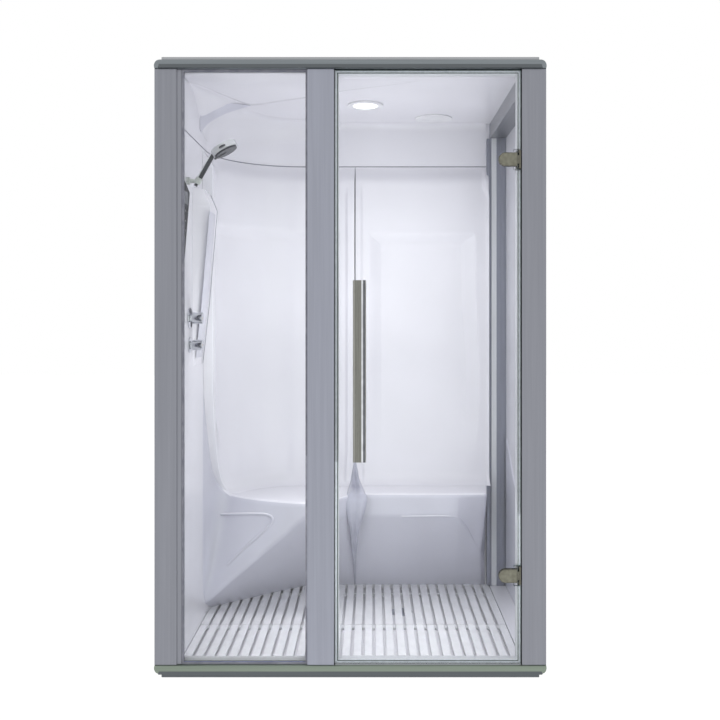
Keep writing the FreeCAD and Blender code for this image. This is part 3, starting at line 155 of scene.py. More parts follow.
def finish(name, light, dark, rough, cloud_mm, grain_mm, depth_mm=0.0, along=None, **fixed):
    """A Principled material. A cloud, cloud_mm across, moves its colour between two, each given
    as a colour or its hex code; a finer grain moves its roughness and lifts its surface by
    depth_mm."""
    material, tree = blank_material(name)
    light, dark = (linear(tone) if isinstance(tone, str) else tone for tone in (light, dark))
    cloud, grain = patterns(tree, (cloud_mm, grain_mm), along)
    share = add_node(tree, "MapRange", None, {"Value": cloud, **CLOUD_REACH})
    colour = add_node(tree, "Mix", {"data_type": "RGBA"},
                      {MIX_SHARE: share.outputs[0], MIX_FIRST: dark, MIX_SECOND: light})
    gloss = add_node(tree, "MapRange", None, {"Value": grain, **GRAIN_REACH,
                                              "To Min": rough[0], "To Max": rough[1]})
    inputs = {"Base Color": colour.outputs[MIX_RESULT], "Roughness": gloss.outputs[0]}
    if depth_mm:
        bump = add_node(tree, "Bump", None, {"Height": grain, "Distance": depth_mm * MM,
                                             "Strength": BUMP_STRENGTH})
        inputs["Normal"] = bump.outputs[0]
    inputs.update((socket.replace("_", " "), value) for socket, value in fixed.items())
    shader = add_node(tree, "BsdfPrincipled", None, inputs)
    add_node(tree, "OutputMaterial", None, {"Surface": shader.outputs[0]})
    return material


def float_glass():
    """Toughened clear float glass: it passes nearly all light and mirrors a few percent, more
    at a glancing view, with faint wipe marks that show in the reflection."""
    material, tree = blank_material("clear_float_glass")
    marks, = patterns(tree, (90,))
    haze = add_node(tree, "MapRange", None, {"Value": marks, **CLOUD_REACH,
                                             "To Min": 0.0, "To Max": 0.04})
    clear = add_node(tree, "BsdfTransparent", None, {"Color": linear("#FCFDFD")})
    mirror = add_node(tree, "BsdfGlossy", None, {"Color": linear("#FFFFFF"),
                                                 "Roughness": haze.outputs[0]})
    # The index is below the 1.52 of glass, matched to how weakly the panes mirror.
    bare = add_node(tree, "Fresnel", None, {"IOR": 1.4})
    behind = add_node(tree, "NewGeometry").outputs["Backfacing"]
    front = add_node(tree, "Math", {"operation": "SUBTRACT"}, {0: 1.0, 1: behind})
    # A ray that leaves the pane passes on, as it does through a thin sheet.
    share = add_node(tree, "Math", {"operation": "MULTIPLY"}, {0: bare.outputs[0],
                                                               1: front.outputs[0]})
    mixed = add_node(tree, "MixShader", None, {"Fac": share.outputs[0], 1: clear.outputs[0],
                                               2: mirror.outputs[0]})
    add_node(tree, "OutputMaterial", None, {"Surface": mixed.outputs[0]})
    return material


def darker(colour, share):
    """A colour with each channel brought down by that share."""
    return (*(c * (1 - share) for c in colour[:3]), 1.0)


def metals(colours):
    """Profiles, handle, hinges, taps and pipes."""
    made = {}
    # Extruded aluminium, satin anodised: an even grey with faint die lines lengthwise, drawn
    # 2.5 mm apart because the real ones are too fine to show. The light one is paler and only
    # partly metallic, a painted highlight for the bright lines on the door stop and the rear
    # post.
    for place, base, axis, metallic in (("upright", colours.aluminium, "Z", 1.0),
                                        ("mullion", colours.mullion, "Z", 1.0),
                                        ("rail", colours.rails, "X", 1.0),
                                        # The lip is the rails' grey darkened: painted shade on
                                        # the rails' lower edge and on the base strip.
                                        ("lip", darker(colours.rails, 0.45), "X", 1.0),
                                        ("sill", linear("#8B968A"), "X", 1.0),
                                        ("side", colours.trim, "Y", 1.0),
                                        ("trim", colours.trim, "X", 1.0),
                                        ("light", linear("#DDDFE2"), "Z", 0.3)):
        made["aluminium_" + place] = finish("satin_anodised_" + place, base[:],
                                            darker(base, 0.07), (0.34, 0.42), 9, 2.5, 0.02,
                                            axis, Metallic=metallic)
    return {
        **made,
        # Stainless steel brushed with a belt, its scratches drawn 1.2 mm apart so that they show.
        "handle": finish("belt_brushed_handle", colours.handle[:], darker(colours.handle, 0.18),
                         (0.26, 0.36), 4, 1.2, 0.02, "Z", Metallic=1.0),
        "handle_side": finish("satin_handle_side", "#A3A39E", "#8E8E89", (0.26, 0.36), 4, 1.2,
                              0.02, "Z", Metallic=1.0),
        "steel": finish("brushed_stainless", "#B9BABD", "#A6A7AA", (0.24, 0.34), 6, 1.2, 0.02,
                        "Z", Metallic=1.0),
        # Satin nickel plate gone a little olive with use, finely speckled, and on the caps the
        # same plate painted lighter as a highlight, with less roughness.
        "hinge": finish("aged_nickel", colours.hinges[:], darker(colours.hinges, 0.14),
                        (0.2, 0.34), 12, 2, 0.01, Metallic=1.0),
        "hinge_cap_highlight": finish("nickel_cap_painted_highlight", "#848377", "#727165", (0.12, 0.2), 16, 3,
                            Metallic=1.0),
        # Chromium plate on brass, buffed: a bright mirror with faint wipe marks. On the handle's
        # face a band of it is a painted highlight.
        "chrome": finish("polished_chrome", "#DCDEE2", "#C8CACF", (0.05, 0.12), 25, 12,
                         Metallic=1.0),
        # A darker chrome, only on the handle's face: a painted dark line where the profile is in
        # shade.
        "handle_painted_shade": finish("painted_handle_shade_line", "#6C6E73", "#5B5D62", (0.1, 0.2), 25, 12,
                              Metallic=1.0),
        # Turned brass and drawn copper tube, dulled by handling.
        "brass": finish("turned_brass", "#C9AC6E", "#AE8D4E", (0.24, 0.36), 14, 1.5, 0.03, "Y",
                        Metallic=1.0),
        "copper": finish("drawn_copper_tube", "#C78B6C", "#A3664A", (0.26, 0.42), 30, 2, 0.02,
                         "Z", Metallic=1.0),
    }


def plastics(colours):
    """Acrylic mouldings, mats, seals, covers and the glass edges."""
    return {
        # Vacuum-formed acrylic sheet: glossy white, with a slow waviness from the mould and a
        # trace of cooler tone where the sheet was drawn thin.
        "acrylic": finish("gloss_white_acrylic", colours.acrylic[:],
                          darker(colours.acrylic, 0.035), (0.12, 0.2), 260, 180, IOR=1.49),
        # The same acrylic painted greyer as shade: on the seat fronts, the roof's corner facet
        # and the low moulding on the right wall; the console's face takes it too.
        "front": finish("acrylic_painted_shade", colours.painted_front_shade[:], darker(colours.painted_front_shade, 0.06),
                        (0.14, 0.24), 220, 160, IOR=1.49),
        # A greyer acrylic, painted as the shade in the groove over the seam.
        "cover": finish("seam_cover_painted_shade", "#BDBECB", "#AFB0BE", (0.1, 0.2), 120, 40, IOR=1.49),
        # The back of the same sheet, laid up by hand with chopped glass mat and resin.
        "laminate": finish("glass_fibre_laminate", "#D8D6CA", "#C9C6B8", (0.4, 0.62), 35, 5, 0.6,
                           IOR=1.54),
        # Injection-moulded polypropylene slats with a fine eroded texture, drawn at 1.5 mm.
        "mat": finish("moulded_mat_plastic", colours.mats[:], darker(colours.mats, 0.07),
                      (0.3, 0.44), 40, 1.5, 0.03, IOR=1.49),
        # Extruded clear vinyl, hazy from wear.
        "seal": finish("clear_vinyl_seal", "#DDE2E8", "#CBD0D7", (0.28, 0.42), 14, 5, 0.03,
                       IOR=1.53),
        # Extruded black rubber with a dusty bloom that turns it a dark grey-green.
        "rubber": finish("dark_rubber_lip", "#3E4B49", "#303B39", (0.5, 0.65), 12, 3, 0.02,
                         IOR=1.5, Specular_IOR_Level=0.2),
        # Tooled silicone: satin, slightly uneven.
        "joint": finish("grey_silicone_joint", "#8B8C96", "#777883", (0.3, 0.45), 30, 6, 0.05,
                        IOR=1.41),
        # Screen-printed film behind the panel: near black, satin.
        "panel": finish("dark_panel_film", colours.panel[:], darker(colours.panel, 0.2),
                        (0.4, 0.5), 20, 2, 0.02, IOR=1.5, Specular_IOR_Level=0.12),
        "display": finish("smoked_display_window", "#1B2A33", "#14212A", (0.08, 0.14), 30, 8,
                          IOR=1.52, Specular_IOR_Level=0.2),
        "print": finish("printed_symbol_white", "#E8E9EC", "#D6D8DC", (0.4, 0.5), 6, 1.5, 0.01,
                        IOR=1.5),
        # Injection-moulded ABS: a fine eroded texture on covers, smoother on the shower.
        "grey": finish("grey_moulded_plastic", "#93969B", "#8B8E93", (0.32, 0.46), 60, 1.5, 0.04,
                       IOR=1.53),
        "holder": finish("pale_holder_plastic", "#C6CAC7", "#B3B8B4", (0.2, 0.32), 30, 2, 0.02,
                         IOR=1.53),
        "shower": finish("satin_shower_plastic", "#D6D7DB", "#C4C5CA", (0.18, 0.28), 40, 2, 0.01,
                         IOR=1.53),
        "dark": finish("dark_shower_plastic", "#43454B", "#35373C", (0.26, 0.38), 30, 2, 0.02,
                       IOR=1.53, Specular_IOR_Level=0.25),
        # Stoved enamel on sheet steel: hard gloss with a trace of orange peel.
        "enamel": finish("white_stoved_enamel", "#F3F3F5", "#E6E6EA", (0.16, 0.26), 60, 4, 0.02,
                         IOR=1.5),
        # Ground and polished edges of the float glass: the iron in it shows green on the door;
        # the fixed pane's edge is painted pale blue as the light it reflects in its joint.
        "edge": finish("green_glass_edge", "#35544F", "#223A36", (0.3, 0.42), 9, 4, 0.0, "Z",
                       IOR=1.52, Specular_IOR_Level=0.12),
        "pane_edge_painted_reflection": finish("glass_edge_painted_reflection", "#9AA6D6", "#7E8CC4", (0.3, 0.42), 9, 4, 0.0, "Z",
                            IOR=1.52, Specular_IOR_Level=0.12),
        # Frosted polycarbonate lens with the lamp behind it.
        "lens": finish("frosted_lamp_lens", "#FFFFFF", "#F2F1EC", (0.4, 0.55), 8, 3, 0.02,
                       IOR=1.58, Emission_Color=linear("#FFFEFA"), Emission_Strength=1.2),
    }


# The finish of every solid of the frame.
NODE_FINISH = {
    "left_stile": "aluminium_upright", "mullion": "aluminium_mullion",
    "right_stile": "aluminium_upright", "bottom_rail": "aluminium_sill",
    "top_rail": "aluminium_rail", "trim_strips": "aluminium_trim",
    # The door stop frame's paler aluminium is a painted highlight.
    "door_stop_frame": "aluminium_light", "right_rear_post": "aluminium_mullion",
    "left_rear_post": "aluminium_upright", "side_top_rail": "aluminium_side",
    "left_top_rail": "aluminium_side", "rear_top_rail": "aluminium_rail",
    "fixed_glass": "glass", "door_glass": "glass", "fixed_glass_gasket": "joint",
    "door_gasket": "seal", "door_bottom_seal": "seal", "shell_joint_seal": "joint",
    "hinge_outer_plates": "hinge", "hinge_inner_plates": "hinge", "hinge_brackets": "hinge",
    "hinge_pins": "steel", "hinge_clamp_screws": "steel", "handle_bolts": "steel",
    "outer_handle": "handle", "inner_handle": "handle", "flange_bolts": "steel",
    "left_back_shell": "acrylic", "right_back_shell": "acrylic", "right_side_shell": "acrylic",
    "roof_shell": "acrylic", "left_seat": "acrylic", "right_seat": "acrylic",
    "floor_tray": "acrylic", "wall_console": "acrylic", "levelling_feet": "steel",
    "drain_trap": "grey", "drain_cover": "chrome", "front_floor_mat": "mat",
    "rear_floor_mat": "mat", "control_panel": "panel", "thermostat_knob": "chrome",
    "diverter_knob": "chrome", "tap_wall_plates": "chrome", "mixer_valve": "brass",
    "water_pipes": "copper", "shower_holder_base": "holder", "shower_holder": "holder",
    "hand_shower": "shower", "spray_face": "dark", "downlight_body": "enamel",
    "downlight_lens": "lens", "ceiling_speaker": "enamel", "steam_tank": "steel",
    "tank_lid": "steel", "heating_element": "grey", "fill_valve": "brass",
    "steam_pipe": "copper", "steam_nozzle": "chrome", "control_box": "grey",
}
FINISH = {}


def coat(obj, *finishes):
    """Give an object its finishes; all of it takes the first until faces are given another."""
    obj.data.materials.clear()
    for name in finishes:
        obj.data.materials.append(FINISH[name])


def two_tone(obj, first, second, test):
    """Give an object two finishes: the faces that pass the test take the second."""
    coat(obj, first, second)
    for face in obj.data.polygons:
        face.material_index = int(test(face))


# ---------------------------------------------------------------- modelling
# Vertices closer than this are one, in metres.
WELD = 0.00002


def deselect():
    """Leave edit mode and select nothing."""
    if bpy.context.object and bpy.context.object.mode != "OBJECT":
        bpy.ops.object.mode_set(mode="OBJECT")
    bpy.ops.object.select_all(action="DESELECT")


def activate(obj):
    """Make one object the only selected and the active one."""
    deselect()
    obj.select_set(True)
    bpy.context.view_layer.objects.active = obj


def in_mm(box):
    """A box's lowest and highest corners, turned from metres to millimetres."""
    return [[value / MM for value in corner] for corner in box]


def named(name):
    """The primitive just added, with its place moved into its mesh."""
    obj = bpy.context.object
    obj.name = obj.data.name = name
    bpy.ops.object.transform_apply(location=True, rotation=True, scale=True)
    return obj


def block(name, x, y, z):
    """A box between two values on each axis, in millimetres."""
    deselect()
    middle = [(a + b) / 2 * MM for a, b in (x, y, z)]
    wide = [(b - a) * MM for a, b in (x, y, z)]
    bpy.ops.mesh.primitive_cube_add(size=1, location=middle, scale=wide)
    return named(name)


def disc(name, centre, axis, radius, long, sides=48):
    """A cylinder whose first end lies at centre and which runs along axis, in millimetres."""
    deselect()
    axis = Vector(axis).normalized()
    middle = (Vector(centre) + axis * long / 2) * MM
    turn = axis.to_track_quat("Z", "Y").to_euler()
    bpy.ops.mesh.primitive_cylinder_add(vertices=sides, radius=radius * MM, depth=long * MM,
                                        location=middle, rotation=turn)
    return named(name)


def ring(name, centre, radius, thick, sides, turn=(0, 0, 0)):
    """A round ring in millimetres that lies flat unless it is turned; thick is the radius of
    its bar, and sides counts the faces round the ring and round the bar."""
    deselect()
    bpy.ops.mesh.primitive_torus_add(
        major_radius=radius * MM, minor_radius=thick * MM, major_segments=sides[0],
        minor_segments=sides[1], location=Vector(centre) * MM, rotation=turn)
    return named(name)


def pick(obj, kind, test):
    """In edit mode, select just the edges or faces that pass the test."""
    activate(obj)
    bpy.ops.object.mode_set(mode="EDIT")
    bpy.ops.mesh.select_mode(type=kind)
    bpy.ops.mesh.select_all(action="DESELECT")
    mesh = bmesh.from_edit_mesh(obj.data)
    for item in mesh.edges if kind == "EDGE" else mesh.faces:
        if test(item):
            item.select_set(True)
    mesh.select_flush_mode()
    bmesh.update_edit_mesh(obj.data)


def round_edges(obj, width, segments=3):
    """Round every edge sharper than 35 degrees with a bevel, and shade the rest smooth with
    its flat faces kept flat."""
    activate(obj)
    bevel = obj.modifiers.new("edge", "BEVEL")
    bevel.width, bevel.segments = width * MM, segments
    bevel.limit_method, bevel.angle_limit = "ANGLE", math.radians(35)
    bevel.miter_outer = "MITER_ARC"
    bpy.ops.object.modifier_apply(modifier=bevel.name)
    bpy.ops.object.shade_smooth_by_angle(angle=math.radians(32))
    flat = obj.modifiers.new("flat_faces", "WEIGHTED_NORMAL")
    flat.keep_sharp = True
    bpy.ops.object.modifier_apply(modifier=flat.name)
    return obj


def traced(node, name):
    """A copy of a carried-over node's mesh, with its loose triangles joined into flat faces."""
    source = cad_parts[node]
    obj = bpy.data.objects.new(name, source.data.copy())
    bpy.context.collection.objects.link(obj)
    obj.data.name = name
    activate(obj)
    bpy.ops.object.mode_set(mode="EDIT")
    bpy.ops.mesh.select_all(action="SELECT")
    bpy.ops.mesh.remove_doubles(threshold=WELD)
    bpy.ops.mesh.dissolve_limited(angle_limit=math.radians(0.6))
    bpy.ops.object.mode_set(mode="OBJECT")
    return obj


def hand_over(obj, body, slot, *replaced):
    """Let a finished piece ride on its body and stand for the nodes; its slot is not used."""
    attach(obj, body)
    if replaced:
        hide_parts(*replaced)
    return obj


def fit(obj, coating, slot, *replaced, body="cabin"):
    """Give a piece one finish all over and hand it over."""
    coat(obj, coating)
    return hand_over(obj, body, slot, *replaced)


def refine(node, name, body, slot, width):
    """A node's own shape and finish with its edges rounded."""
    return fit(round_edges(traced(node, name), width), NODE_FINISH[node], slot, node, body=body)


# ---------------------------------------------------------------- stage
EYE = (77.5, -3495, 1293)              # the camera's eye, in millimetres
SENSOR, LENS, SHIFT = 36, 42.7, (-0.0167, -0.0611)
FLOOR_WIDE = 30
# How much of the floor the glow takes where it is seen, how bright it is, and how strongly the
# world lights what isn't seen.
GLOW_SHARE, GLOW_STRENGTH, WORLD_LIGHT = 0.85, 1.13, 0.7
# name, place, the point it looks at, width and height, watts, spread in degrees; in metres
LAMPS = (
    ("front_key", (1.2, -5.4, 3.0), (0.0, 0.0, 1.0), (5.0, 3.5), 65, 180),
    ("rear_fill", (0.5, 4.5, 3.2), (0.0, 0.0, 1.0), (4.0, 3.0), 60, 180),
    ("room_fill", (0.1, -0.385, 0.85), (0.0, 0.5, 0.5), (1.1, 1.4), 3.2, 180),
    ("mat_light", (0.02, -0.26, 2.14), (0.02, -0.22, 0.0), (1.15, 0.26), 0.85, 30),
    ("roof_bounce", (0.0, -0.2, 0.9), (0.0, -0.05, 2.1), (0.9, 0.3), 1.5, 120),
)
GLOW_PLACE, GLOW_WATTS, GLOW_RADIUS = (0.15, -0.1, 1.6), 2.5, 0.3


class CabinStage(bpy.types.Operator):
    """Add the floor, the lamps, the world and the camera"""
    bl_idname = "cabin.stage"
    bl_label = "Stage"

    def execute(self, context):
        scene = context.scene
        scene.view_settings.view_transform = "Standard"
        deselect()
        bpy.ops.mesh.primitive_plane_add(size=FLOOR_WIDE, location=(0, 0, 0))
        floor = named("studio_floor")
        floor.data.materials.append(self.white_floor())
        self.white_world(scene)
        for lamp in LAMPS:
            self.area_lamp(*lamp)
        self.room_glow()
        self.camera(scene)
        return {"FINISHED"}

    def white_floor(self):
        """Pale painted studio floor. It glows towards the camera and in mirrors, so that it
        shows white, and the rest of its light is its own paint with the cabin's shadow."""
        material = finish("pale_studio_floor", "#F4F4F5", "#EFEFF1", (0.6, 0.75), 400, 60)
        tree = material.node_tree
        shader = next(n for n in tree.nodes if n.bl_idname == "ShaderNodeBsdfPrincipled")
        output = next(n for n in tree.nodes if n.bl_idname == "ShaderNodeOutputMaterial")
        paths = add_node(tree, "LightPath").outputs
        seen = add_node(tree, "Math", {"operation": "MAXIMUM"},
                        {0: paths["Is Camera Ray"], 1: paths["Is Glossy Ray"]})
        share = add_node(tree, "Math", {"operation": "MULTIPLY"},
                         {0: seen.outputs[0], 1: GLOW_SHARE})
        glow = add_node(tree, "Emission", None,
                        {"Color": linear("#FFFFFF"), "Strength": GLOW_STRENGTH})
        mixed = add_node(tree, "MixShader", None, {"Fac": share.outputs[0],
                                                   1: shader.outputs[0], 2: glow.outputs[0]})
        tree.links.new(mixed.outputs[0], output.inputs["Surface"])
        return material

    def white_world(self, scene):
        """A world that is white to the camera and in mirrors, and lights the cabin less."""
        world = bpy.data.worlds.new("studio_world")
        world.use_nodes = True
        scene.world = world
        tree = world.node_tree
        tree.nodes.clear()
        paths = add_node(tree, "LightPath").outputs
        mirrored = add_node(tree, "Math", {"operation": "MAXIMUM"},
                            {0: paths["Is Glossy Ray"], 1: paths["Is Transmission Ray"]})
        seen = add_node(tree, "Math", {"operation": "MAXIMUM"},
                        {0: paths["Is Camera Ray"], 1: mirrored.outputs[0]})
        strength = add_node(tree, "MapRange", None,
                            {"Value": seen.outputs[0], "To Min": WORLD_LIGHT, "To Max": 1.0})
        sky = add_node(tree, "Background", None, {"Color": linear("#FFFFFF"),
                                                  "Strength": strength.outputs[0]})
        add_node(tree, "OutputWorld", None, {"Surface": sky.outputs[0]})

    def area_lamp(self, name, place, target, wide, watts, spread):
        """A soft oblong lamp that looks at a point."""
        data = bpy.data.lights.new(name, "AREA")
        data.shape, data.energy = "RECTANGLE", watts
        data.size, data.size_y = wide
        data.spread = math.radians(spread)
        obj = self.hang(data, place)
        obj.rotation_euler = (Vector(target) - Vector(place)).to_track_quat("-Z", "Y").to_euler()

    def room_glow(self):
        """A weak ball of light in the room, for what bounces between its white walls."""
        data = bpy.data.lights.new("room_glow", "POINT")
        data.energy, data.shadow_soft_size = GLOW_WATTS, GLOW_RADIUS
        self.hang(data, GLOW_PLACE)

    def hang(self, data, place):
        """A lamp at its place that doesn't show itself."""
        obj = bpy.data.objects.new(data.name, data)
        obj.location = place
        obj.visible_camera = obj.visible_glossy = False
        bpy.context.collection.objects.link(obj)
        return obj

    def camera(self, scene):
        """Eye 1.29 m up and 3.05 m in front of the frame, looking straight at it; the small
        shift frames the cabin as a levelled view camera would."""
        data = bpy.data.cameras.new("studio_camera")
        data.sensor_width, data.lens = SENSOR, LENS
        data.shift_x, data.shift_y = SHIFT
        obj = bpy.data.objects.new("studio_camera", data)
        obj.location = Vector(EYE) * MM
        obj.rotation_euler = (math.radians(90), 0, 0)
        bpy.context.collection.objects.link(obj)
        scene.camera = obj


class CabinFinishes(bpy.types.Operator):
    """Make the finishes and put them on the nodes that keep their own shape"""
    bl_idname = "cabin.finishes"
    bl_label = "Finishes"

    def execute(self, context):
        colours = context.scene.cabin_colours
        FINISH.update({"glass": float_glass(), **metals(colours), **plastics(colours)})
        for node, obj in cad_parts.items():
            coat(obj, NODE_FINISH[node])
        return {"FINISHED"}


class CabinGlass(bpy.types.Operator):
    """Model the fixed pane and the door pane with their ground edges"""
    bl_idname = "cabin.glass"
    bl_label = "Glass"

    def execute(self, context):
        arris = context.scene.cabin_sizes.arris / MM
        # The fixed pane's pale blue edge is a painted reflection.
        for node, name, body, edge in (("fixed_glass", "fixed_pane", "cabin", "pane_edge_painted_reflection"),
                                       ("door_glass", "door_pane", "door", "edge")):
            pane = round_edges(traced(node, name), arris, 2)
            two_tone(pane, "glass", edge, lambda face: abs(face.normal.y) <= 0.99)
            for face in pane.data.polygons:
                face.use_smooth = False
            hand_over(pane, body, "clear_glass", node)
        return {"FINISHED"}


# Rounding of the two thinnest profiles at most, in millimetres, and the height below which
# the trim strips are the base strip, in metres.
FINE_EDGE, BASE_STRIP_TOP = 1.2, 0.5


class CabinProfiles(bpy.types.Operator):
    """Round the edges of the aluminium profiles of the front and of the frame behind it"""
    bl_idname = "cabin.profiles"
    bl_label = "Aluminium Profiles"

    def execute(self, context):
        edge = context.scene.cabin_sizes.profile_edge / MM
        for node, coating in NODE_FINISH.items():
            if coating.startswith("aluminium"):
                thin = node in ("door_stop_frame", "top_rail")
                piece = refine(node, node + "_profile", "cabin", "anodised_aluminium",
                               min(edge, FINE_EDGE) if thin else edge)
                if node == "trim_strips":
                    # The base strip, below the rail, lies in its shade, painted on it as a darker
                    # colour.
                    two_tone(piece, coating, "aluminium_lip",
                             lambda face: face.center.z < BASE_STRIP_TOP)
        return {"FINISHED"}


# ---------------------------------------------------------------- moulded walls
# The room's inner faces and the radius of its rounded corner, then the heights of the seats, of
# the walls' top edge and of the ceiling, all in millimetres.
ROOM = {"left": -613, "right": 618, "back": 435, "corner": 375}
SEAT_TOP, SHELL_TOP, CEILING = 530, 1979, 2175.4
# Points in the open that the faces of the skins look towards.
MID_ROOM, BEFORE_SEATS = (0, 0, 1500), (0, -1500, 900)


def smooth(value):
    """Nothing below 0, 1 above 1 and an S-shaped rise between."""
    value = min(max(value, 0.0), 1.0)
    return value * value * (3 - 2 * value)


def value_at(line, high):
    """The value at a height, on a bent line given as heights with their values."""
    return next(value + (after - value) * (high - low) / (above - low)
                for (low, value), (above, after) in zip(line, line[1:]) if high <= above)


def slice_at(obj, axis, places):
    """Cut the whole mesh across at each place along an axis, so that each band between two
    cuts can have a finish of its own."""
    activate(obj)
    bpy.ops.object.mode_set(mode="EDIT")
    for place in places:
        point, normal = [0, 0, 0], [0, 0, 0]
        point[axis], normal[axis] = place * MM, 1
        bpy.ops.mesh.select_all(action="SELECT")
        bpy.ops.mesh.bisect(plane_co=point, plane_no=normal)
    bpy.ops.object.mode_set(mode="OBJECT")


def through(points, steps):
    """A smooth run of points through the given ones, with that many steps between two."""
    ends = [points[0], *points, points[-1]]
    run = []
    for four in zip(ends, ends[1:], ends[2:], ends[3:]):
        for step in range(steps):
            t = step / steps
            run.append(tuple(0.5 * (2 * b + (c - a) * t + (2 * a - 5 * b + 4 * c - d) * t ** 2
                                    + (3 * b - a - 3 * c + d) * t ** 3)
                             for a, b, c, d in zip(*four)))
    return run + [tuple(points[-1])]


def soften(corners, radii, steps=6):
    """A run of straight pieces whose inner corners are rounded off, each by its own reach."""
    corners = [Vector(corner) for corner in corners]
    run = [corners[0]]
    for before, here, after, reach in zip(corners, corners[1:], corners[2:], radii):
        start = here + (before - here) * min(reach / max((before - here).length, 0.01), 0.45)
        end = here + (after - here) * min(reach / max((after - here).length, 0.01), 0.45)
        for step in range(steps + 1):
            t = step / steps
            run.append(start * (1 - t) ** 2 + here * 2 * t * (1 - t) + end * t ** 2)
    return run + [corners[-1]]


def skin(name, rows, thick, towards, angle=50):
    """A moulded sheet whose face runs through rows of points in millimetres and looks towards a
    point; its thickness lies behind."""
    deselect()
    bpy.ops.mesh.primitive_grid_add(x_subdivisions=len(rows[0]) - 1,
                                    y_subdivisions=len(rows) - 1, size=1)
    obj = named(name)
    for vertex, point in zip(obj.data.vertices, [p for row in rows for p in row]):
        vertex.co = Vector(point) * MM
    facing = sum((face.area * face.normal.dot(Vector(towards) * MM - face.center)
                  for face in obj.data.polygons), 0.0)
    bpy.ops.object.mode_set(mode="EDIT")
    bpy.ops.mesh.select_all(action="SELECT")
    if facing < 0:
        bpy.ops.mesh.flip_normals()
    bpy.ops.mesh.remove_doubles(threshold=WELD)
    bpy.ops.object.mode_set(mode="OBJECT")
    wall = obj.modifiers.new("wall", "SOLIDIFY")
    wall.thickness, wall.offset = thick * MM, -1
    bpy.ops.object.modifier_apply(modifier=wall.name)
    bpy.ops.object.shade_smooth_by_angle(angle=math.radians(angle))
    return obj


# Heights of a backrest's rows of points, closer together where its face bends.
ROW_HEIGHTS = (530.5, 533, 537, 543, 551, 561, 574, 590, 610, 640, 680, 730, 780, 840, 900, 960,
               1020, 1080, 1150, 1250, 1350, 1450, 1540, 1600, 1612, 1620, 1628, 1640, 1652,
               1662, 1670, 1678, 1690, 1705, 1740, 1780, 1800, 1815, 1830, 1845, 1860, 1875,
               1890, 1905, 1920, 1940, 1960, 1972, 1978)
# Steps round each corner of a backrest's row, and across the straight stretches between them:
# rims and borders need one, the sunk panel that runs round the room's corner needs many.
CORNER_STEPS = 3
SPANS = (1, 1, 1, 1, 2, 26, 1, 1, 4, 1, 1, 1)
# How far a skin's edge stands off the solid wall, how high the border above the sunk panel is,
# and the radius of the cove at a backrest's foot, in millimetres.
OFF_WALL, BORDER, FOOT_COVE = 0.6, 60, 60
# How far the left backrest's far rim is drawn in at each height.
SCOOP = ((530, 200), (573, 186), (637, 146), (700, 122), (771, 96), (880, 58), (990, 26),
         (1150, 8), (2000, 0))


def ridge_share(high):
    """How much of the near rim is left at a height: all below 1810, none above 1900."""
    return smooth((1900 - high) / 90)


def sunk_share(high, top):
    """How deep the sunk panel lies at a height: it slopes in below its top edge and runs out
    to nothing between 1060 and 640, towards the seat."""
    return smooth((top - high) / BORDER) * smooth((high - 640) / 420)


def backrest_row(high, edges, panel, top, rim, recess):
    """A backrest's line at one height, as places along the wall and off it. It runs from the
    seam over the near rim, the scoop and the sunk panel to the far rim."""
    near, (far, far_share), end = edges(high)
    outer_l, inner_l, inner_r, outer_r = panel(high)
    lean = smooth((top - high) / BORDER)
    inner_l, inner_r = (outer_l + (inner_l - outer_l) * lean,
                        outer_r + (inner_r - outer_r) * lean)
    level, depth = recess + 1, recess * sunk_share(high, top)
    near_rim, far_rim = level + rim * ridge_share(high), level + rim * far_share
    line = ((0, OFF_WALL), (1.5, near_rim), (near - 5, near_rim), (near + 5, level),
            (outer_l, level), (inner_l, level - depth), (inner_r, level - depth),
            (outer_r, level - depth * 0.12), (outer_r + 3, level), (far - 6, level),
            (far + 6, far_rim), (end - 6, far_rim), (end, OFF_WALL))
    flat = soften([(*point, 0) for point in line], (1.2, 4, 5, 9, 7, 3, 3, 2, 5, 5, 4),
                  CORNER_STEPS)
    row = []
    for i, (here, after) in enumerate(zip(flat, flat[1:])):
        corner, along_it = divmod(i, CORNER_STEPS + 1)
        pieces = 1 if along_it else SPANS[corner]
        row += [here + (after - here) * step / pieces for step in range(pieces)]
    return [*row, flat[-1]]


def backrest_rows(edges, panel, top, sizes, place):
    """The face of a backrest as rows up the wall, each laid on it by place."""
    rows = []
    for high in ROW_HEIGHTS:
        line = []
        for along, off, _ in backrest_row(high, edges, panel, top, *sizes):
            off = OFF_WALL + (off - OFF_WALL) * smooth((SHELL_TOP - high) / 80)
            if off > OFF_WALL and high < SEAT_TOP + FOOT_COVE:
                below = FOOT_COVE - (high - SEAT_TOP)
                off += FOOT_COVE - math.sqrt(FOOT_COVE ** 2 - below ** 2)
            line.append(place(along, off, high))
        rows.append(line)
    return rows


def left_wall_point(along, off, high):
    """Along the back wall to the left, round the corner and forward along the left wall."""
    radius = ROOM["corner"]
    centre = ROOM["left"] + radius, ROOM["back"] - radius
    straight = -1 - centre[0]
    if along <= straight:
        return -1 - along, ROOM["back"] - off, high
    turn = (along - straight) / radius
    if turn < math.pi / 2:
        return (centre[0] - (radius - off) * math.sin(turn),
                centre[1] + (radius - off) * math.cos(turn), high)
    return ROOM["left"] + off, centre[1] - (along - straight - radius * math.pi / 2), high


def right_wall_point(along, off, high):
    """Along the back wall to the right."""
    return 1 + along, ROOM["back"] - off, high


